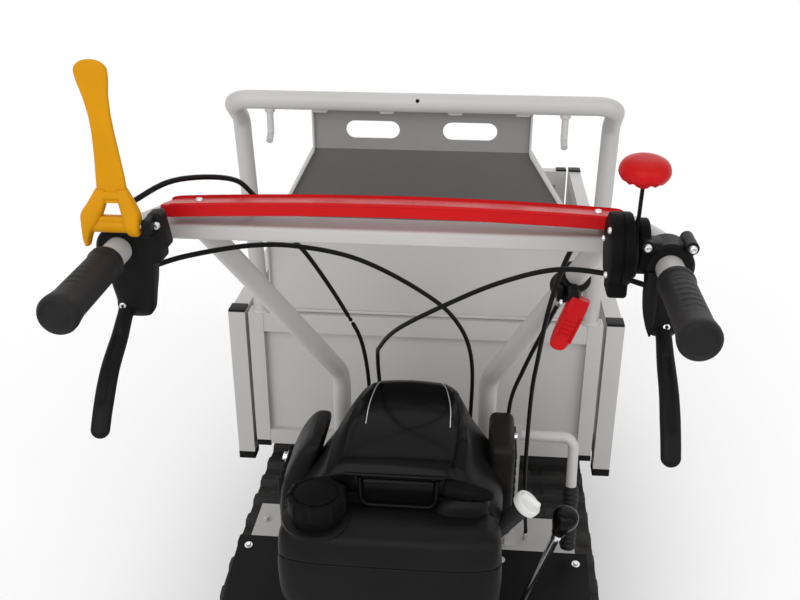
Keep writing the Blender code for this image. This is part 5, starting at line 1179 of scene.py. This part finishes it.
    def sides(self):
        """The filter cover is a stack of superellipses with fins, the muffler a rounded box with slats."""
        low, high, middle, half = extent("air_filter_cover")
        levels = [(low[2] + 0.0005, -0.004, 0.72, 0.84, 4.0), (low[2] + 0.012, -0.003, 0.97, 0.98, 4.4),
                  (middle[2], 0.003, 1.0, 1.0, 5.0), (high[2] - 0.030, 0.018, 0.90, 0.94, 4.6),
                  (high[2] - 0.006, 0.030, 0.70, 0.84, 4.0), (high[2] + 0.003, 0.035, 0.40, 0.62, 3.4)]
        rows = through([(z, middle[0] + shift, middle[1], half[0] * wide, half[1] * deep, power)
                        for z, shift, wide, deep, power in levels], 7)
        fins = [block((low[0] - 0.0016, y - 0.0022, low[2] + 0.020),
                      (low[0] + 0.006, y + 0.0022, high[2] - 0.062), 0.0016)
                for y in np.linspace(low[1] + 0.018, high[1] - 0.018, 6)]
        piece("filter_cover", [lofted(rows, count=64), *fins], "satin_plastic", "chassis",
              ("air_filter_cover",))
        knob = bolt((low[0] + 0.004, middle[1], middle[2] + 0.020), (-1.0, 0.0, 0.3), 0.006)
        piece("filter_fixing", knob, "zinc_steel", "chassis")
        low, high, middle, _ = extent("muffler")
        can = block(low + 0.0006, high - (0.004, 0.0006, 0.0006), 0.010)
        slats = [block((high[0] - 0.0075, low[1] + 0.012, z - 0.0026),
                       (high[0] - 0.0005, high[1] - 0.012, z + 0.0026), 0.0018)
                 for z in np.linspace(low[2] + 0.022, high[2] - 0.022, 9)]
        outlet = turned([(0.0, 0.0), (0.0100, 0.0), (0.0100, 0.010), (0.0085, 0.010), (0.0085, 0.002),
                         (0.0, 0.002)], (middle[0] - 0.004, low[1] + 0.0006, low[2] + 0.030), BACK, 32)
        piece("muffler_can", [can, *slats, outlet], "heat_black", "chassis", ("muffler",))
        heads = bolts([(high[0] - 0.004, middle[1], z) for z in (low[2] + 0.012, high[2] - 0.012)], ACROSS,
                      0.0042)
        piece("muffler_bolts", heads, "zinc_steel", "chassis")


class BARROW_OT_engine_fittings(Maker, bpy.types.Operator):
    """Ribbed fuel cap, winged oil cap and starter grip"""

    bl_idname = "barrow.engine_fittings"
    bl_label = "Engine fittings"

    def make(self, sizes):
        self.fuel_cap(sizes)
        self.oil_cap()
        self.starter()

    def fuel_cap(self, sizes):
        """A turned cap whose wall swells outwards in raised-cosine ribs."""
        low, _, middle, _ = extent("fuel_cap")
        base = np.array((middle[0], middle[1], low[2] + 0.0085))
        profile = through([(0.0330, 0.0004), (0.0345, 0.0012), (0.0345, 0.0100), (0.0372, 0.0118),
                           (0.0376, 0.0140), (0.0376, 0.0300), (0.0366, 0.0340), (0.0345, 0.0358),
                           (0.0310, 0.0362), (0.0296, 0.0348), (0.0278, 0.0348), (0.0264, 0.0366),
                           (0.0150, 0.0376), (0.0020, 0.0378), (0.0, 0.0378)], 4)
        profile[:, 0] = np.clip(profile[:, 0], 0.0, None)
        count = 180
        angle = np.linspace(0.0, 2 * math.pi, count, endpoint=False)
        wall = np.clip((profile[:, 1] - 0.012) / 0.003, 0.0, 1.0) * (profile[:, 0] > 0.029)
        ribs = np.clip(np.cos(sizes.cap_ribs * angle) * 3.0 - 2.0, 0.0, 1.0)
        swell = 0.0026 * wall[:, None] * ribs[None]
        piece("fuel_cap_ribbed", [turned(profile, base, UP, count, swell)], "grained_plastic", "fuel_cap",
              ("fuel_cap",))

    def oil_cap(self):
        """A turned cap square to the filler pipe, and a wing of superellipses laid across its top."""
        foot, top = grounded(OIL_PIPE_FOOT), grounded(OIL_PIPE_TOP)
        lean, first, _ = axes_of(top - foot)
        base = top + lean * 0.0003
        cap = turned([(0.0, 0.0), (0.0150, 0.0), (0.0186, 0.003), (0.0190, 0.006), (0.0190, 0.0125),
                      (0.0178, 0.0145), (0.0, 0.0150)], base, lean, 48)
        middle = base + lean * 0.0165
        wing = lofted([(-0.0145, 0.0, 0.0, 0.0016, 0.0034, 3.0), (-0.0125, 0.0, 0.0, 0.0032, 0.0056, 3.0),
                       (0.0, 0.0, 0.0, 0.0036, 0.0060, 3.0), (0.0125, 0.0, 0.0, 0.0032, 0.0056, 3.0),
                       (0.0145, 0.0, 0.0, 0.0016, 0.0034, 3.0)], count=32)
        across = np.cross(lean, first)
        turn = np.stack([first, lean, across], axis=0)
        wing = (wing[0] @ turn + middle, wing[1])
        piece("oil_cap_winged", [cap, wing], "pale_plastic", "oil_cap", ("oil_cap",))

    def starter(self):
        """A lens-shaped handle: superellipses along X, fullest in the middle, on a short rope stub."""
        low, _, middle, half = extent("starter_grip")
        share = np.array((-1.0, -0.97, -0.88, -0.6, 0.0, 0.6, 0.88, 0.97, 1.0))
        full = np.array((0.42, 0.66, 0.84, 0.96, 0.92, 0.74, 0.56, 0.42, 0.24))
        rows = np.stack([middle[0] + half[0] * share, np.full(9, middle[1]), np.full(9, middle[2]),
                         half[1] * full, half[2] * full, np.full(9, 2.8)], axis=-1)
        dense = through(rows, 6)
        points, faces = lofted(dense, count=44)
        points = points[:, (2, 0, 1)]
        points, faces = swung((points, faces), middle, AHEAD, math.radians(9.0))
        collar = turned([(0.0, 0.0), (0.0070, 0.0), (0.0070, 0.004), (0.0055, 0.006), (0.0, 0.006)],
                        (middle[0], middle[1], low[2]), UP, 32)
        piece("starter_handle", [(points, faces), collar], "grained_plastic", "starter_grip",
              ("starter_grip",))


class BARROW_OT_chassis_levers(Maker, bpy.types.Operator):
    """Plated gear lever with its knob, and the bent lock lever with its ringed grip"""

    bl_idname = "barrow.chassis_levers"
    bl_label = "Chassis levers"

    def make(self, sizes):
        """Gear lever and knob are turned profiles; the lock lever is a bent tube with a wavy turned grip."""
        foot, top = grounded(GEAR_FOOT), grounded(GEAR_TOP)
        reach = np.linalg.norm(top - foot)
        lean = (top - foot) / reach
        angle = np.linspace(-math.pi / 2, 1.2, 14)
        ball = np.stack([0.0090 * np.cos(angle), 0.0090 * np.sin(angle)], axis=-1)
        ball[0, 0] = 0.0
        stem = np.concatenate([ball, [(0.0060, 0.012), (0.0060, reach - 0.012), (0.0072, reach - 0.010),
                                      (0.0072, reach - 0.001), (0.0, reach)]])
        piece("gear_rod", [turned(stem, foot, lean, 40)], "bright_chrome", "shift", ("shift_lever",))
        pear = through([(0.0, 0.0), (0.0085, 0.0), (0.0098, 0.003), (0.0120, 0.010), (0.0158, 0.020),
                        (0.0180, 0.029), (0.0168, 0.0375), (0.0118, 0.0425), (0.0050, 0.0439),
                        (0.0, 0.0440)], 6)
        pear[:, 0] = np.clip(pear[:, 0], 0.0, None)
        piece("gear_pear", [turned(pear, top + lean * 0.0003, lean, 56)], "gloss_plastic", "shift",
              ("shift_knob",))
        start, corner, end = grounded([LOCK_START, LOCK_CORNER, LOCK_END])
        path = bent([start, corner, end], 0.018, 12)
        piece("lock_tube", [tube(path, 0.008, (0.0, 1.0, 0.1), 32)], "powder_coat", "lock", ("lock_lever",))
        down = (end - corner) / np.linalg.norm(end - corner)
        share = np.linspace(0.0, 1.0, 160)
        fade = np.clip((0.5 - np.abs(share - 0.5)) * 16.0, 0.0, 1.0)
        rings = 0.0009 * np.cos(share * 2 * math.pi * 13) * fade
        outline = np.interp(share, (0.0, 0.015, 0.05, 0.95, 0.985, 1.0),
                            (0.0092, 0.0112, 0.0118, 0.0118, 0.0110, 0.0080)) + rings
        profile = np.concatenate([[(0.0, 0.0)], np.stack([outline, share * LOCK_GRIP], axis=-1),
                                  [(0.0, LOCK_GRIP)]])
        piece("lock_sleeve", [turned(profile, end + down * 0.0003, down, 48)], "soft_rubber", "lock",
              ("lock_grip",))


class BARROW_OT_chassis_fixings(Maker, bpy.types.Operator):
    """Bolts on the deck, the track guards and the gearbox"""

    bl_idname = "barrow.chassis_fixings"
    bl_label = "Chassis fixings"

    def make(self, sizes):
        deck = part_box("engine_block")[0].z - 0.0003
        places = [(x, y) for x in (-0.112, 0.112) for y in (-0.530, -0.262, -0.168)]
        places += [(-0.245, -0.212), (0.245, -0.212)]
        heads = bolts([grounded((x, y, deck)) for x, y in places], UP, 0.0050)
        piece("deck_bolts", heads, "zinc_steel", "chassis")
        places = [grounded((x, -0.275, deck - 0.0045)) for x in (-0.262, -0.145, 0.145, 0.262)]
        guard = bolts(places, (0.0, -0.225, 1.0), 0.0042)
        piece("guard_bolts", guard, "zinc_steel", "chassis")
        low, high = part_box("gearbox_housing")
        places = [(x, y, high.z) for x in (-0.055, 0.055) for y in (low.y + 0.022, high.y - 0.022)]
        lid = bolts(places, UP, 0.0048)
        plug = bolt((0.0, low.y, low.z + 0.045), BACK, 0.0080)
        piece("gearbox_bolts", lid + plug, "zinc_steel", "chassis")
        low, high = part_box("tip_shaft")
        middle = (low + high) / 2
        collar = [(0.0, 0.0), (0.0135, 0.0), (0.0135, 0.006), (0.0120, 0.0075), (0.0, 0.0075)]
        collars = [turned(collar, (x, middle.y, middle.z), (end, 0.0, 0.0), 32)
                   for x, end in ((low.x, 1.0), (high.x, -1.0))]
        piece("tip_shaft_collars", collars, "zinc_steel", "chassis")


class BARROW_OT_stage(Maker, bpy.types.Operator):
    """Pale floor, soft lamps, a white surround and the camera"""

    bl_idname = "barrow.stage"
    bl_label = "Stage"

    def make(self, sizes):
        scene = bpy.context.scene
        scene.view_settings.view_transform = "Standard"
        span = 14.0
        corner = np.linspace(-span, span, 2)
        points = np.stack([*np.meshgrid(corner, corner, indexing="ij"), np.full((2, 2), -0.0005)], axis=-1)
        mesh = bpy.data.meshes.new("floor")
        mesh.from_pydata(points.reshape(-1, 3).tolist(), [], [(0, 2, 3, 1)])
        floor = bpy.data.objects.new("floor", mesh)
        scene.collection.objects.link(floor)
        mesh.materials.append(self.floor_material(tuple(scene.barrow_colours.floor)))
        self.surround(scene)
        for name, (place, power) in LAMPS.items():
            self.lamp(scene, name, place, power)
        self.camera(scene, sizes)

    def seen(self, nodes, links):
        """One where the camera looks straight, by a mirror or through glass, and nought elsewhere."""
        rays = nodes.new("ShaderNodeLightPath")
        first = nodes.new("ShaderNodeMath")
        first.operation = "MAXIMUM"
        links.new(rays.outputs["Is Camera Ray"], first.inputs[0])
        links.new(rays.outputs["Is Glossy Ray"], first.inputs[1])
        both = nodes.new("ShaderNodeMath")
        both.operation = "MAXIMUM"
        links.new(first.outputs["Value"], both.inputs[0])
        links.new(rays.outputs["Is Transmission Ray"], both.inputs[1])
        return both.outputs["Value"]

    def floor_material(self, shade):
        """A pale diffuse floor with a faint cloudy tone that the camera sees as white, shadows and all."""
        material = bpy.data.materials.new("studio_floor")
        material.use_nodes = True
        nodes, links = material.node_tree.nodes, material.node_tree.links
        shader = nodes["Principled BSDF"]
        place = nodes.new("ShaderNodeTexCoord")
        cloud = nodes.new("ShaderNodeTexNoise")
        cloud.inputs["Scale"].default_value = 0.6
        ramp = nodes.new("ShaderNodeValToRGB")
        ramp.color_ramp.elements[0].color = (*scaled(shade, 0.985), 1.0)
        ramp.color_ramp.elements[1].color = (*shade, 1.0)
        links.new(place.outputs["Object"], cloud.inputs["Vector"])
        links.new(cloud.outputs["Fac"], ramp.inputs["Fac"])
        white = nodes.new("ShaderNodeMix")
        white.data_type = "RGBA"
        white.inputs["B"].default_value = (1.0, 1.0, 1.0, 1.0)
        links.new(self.seen(nodes, links), white.inputs["Factor"])
        links.new(ramp.outputs["Color"], white.inputs["A"])
        links.new(white.outputs["Result"], shader.inputs["Base Color"])
        shader.inputs["Roughness"].default_value = 0.9
        shader.inputs["Specular IOR Level"].default_value = 0.1
        return material

    def surround(self, scene):
        """Even light from all round; the camera, mirrors and glass see it white."""
        world = bpy.data.worlds.new("studio")
        scene.world = world
        world.use_nodes = True
        nodes, links = world.node_tree.nodes, world.node_tree.links
        background = nodes["Background"]
        background.inputs["Color"].default_value = (1.0, 1.0, 1.0, 1.0)
        strength = nodes.new("ShaderNodeMapRange")
        strength.inputs["To Min"].default_value = SURROUND_LIGHT
        strength.inputs["To Max"].default_value = 1.0
        links.new(self.seen(nodes, links), strength.inputs["Value"])
        links.new(strength.outputs["Result"], background.inputs["Strength"])

    def lamp(self, scene, name, place, power):
        """A soft sun at a place, turned so that it shines from there on the origin."""
        light = bpy.data.lights.new(name, "SUN")
        light.energy = power
        light.angle = LAMP_SPREAD
        obj = bpy.data.objects.new(name, light)
        matrix = np.eye(4)
        matrix[:3, 2], matrix[:3, 0], matrix[:3, 1] = axes_of(place)
        matrix[:3, 3] = place
        obj.matrix_world = Matrix(matrix.tolist())
        scene.collection.objects.link(obj)

    def camera(self, scene, sizes):
        """The photograph's view: behind the handlebar, looking down on the bed."""
        camera = bpy.data.cameras.new("camera")
        camera.lens = sizes.lens
        camera.sensor_width = 36.0
        obj = bpy.data.objects.new("camera", camera)
        obj.location = above(CAMERA_PLACE)
        obj.rotation_euler = [math.radians(turn) for turn in CAMERA_TURNS]
        scene.collection.objects.link(obj)
        scene.camera = obj


OPERATORS = (BARROW_OT_stage, BARROW_OT_frame_finishes, BARROW_OT_tracks, BARROW_OT_track_wheels,
             BARROW_OT_bed_trim, BARROW_OT_hoop, BARROW_OT_handlebar, BARROW_OT_console, BARROW_OT_grips,
             BARROW_OT_perches, BARROW_OT_steering_levers, BARROW_OT_clutch_lever, BARROW_OT_throttle,
             BARROW_OT_release, BARROW_OT_cables, BARROW_OT_engine_covers, BARROW_OT_engine_fittings,
             BARROW_OT_chassis_levers, BARROW_OT_chassis_fixings)


class BARROW_PT_sidebar(bpy.types.Panel):
    """Lists the barrow's sizes, colours and makers"""

    bl_idname = "BARROW_PT_sidebar"
    bl_label = "Tracked power barrow"
    bl_space_type = "VIEW_3D"
    bl_region_type = "UI"
    bl_category = "Barrow"

    def draw(self, context):
        for group in (context.scene.barrow_sizes, context.scene.barrow_colours):
            column = self.layout.column()
            for name in group.__annotations__:
                column.prop(group, name)
        for operator in OPERATORS:
            self.layout.operator(operator.bl_idname)


CLASSES = (BarrowColours, BarrowSizes, *OPERATORS, BARROW_PT_sidebar)


def register():
    for made in CLASSES:
        bpy.utils.register_class(made)
    bpy.types.Scene.barrow_colours = bpy.props.PointerProperty(type=BarrowColours)
    bpy.types.Scene.barrow_sizes = bpy.props.PointerProperty(type=BarrowSizes)


def unregister():
    del bpy.types.Scene.barrow_sizes
    del bpy.types.Scene.barrow_colours
    for made in reversed(CLASSES):
        bpy.utils.unregister_class(made)


def main():
    register()
    for operator in OPERATORS:
        family, name = operator.bl_idname.split(".")
        getattr(getattr(bpy.ops, family), name)()


if __name__ == "__main__":
    main()
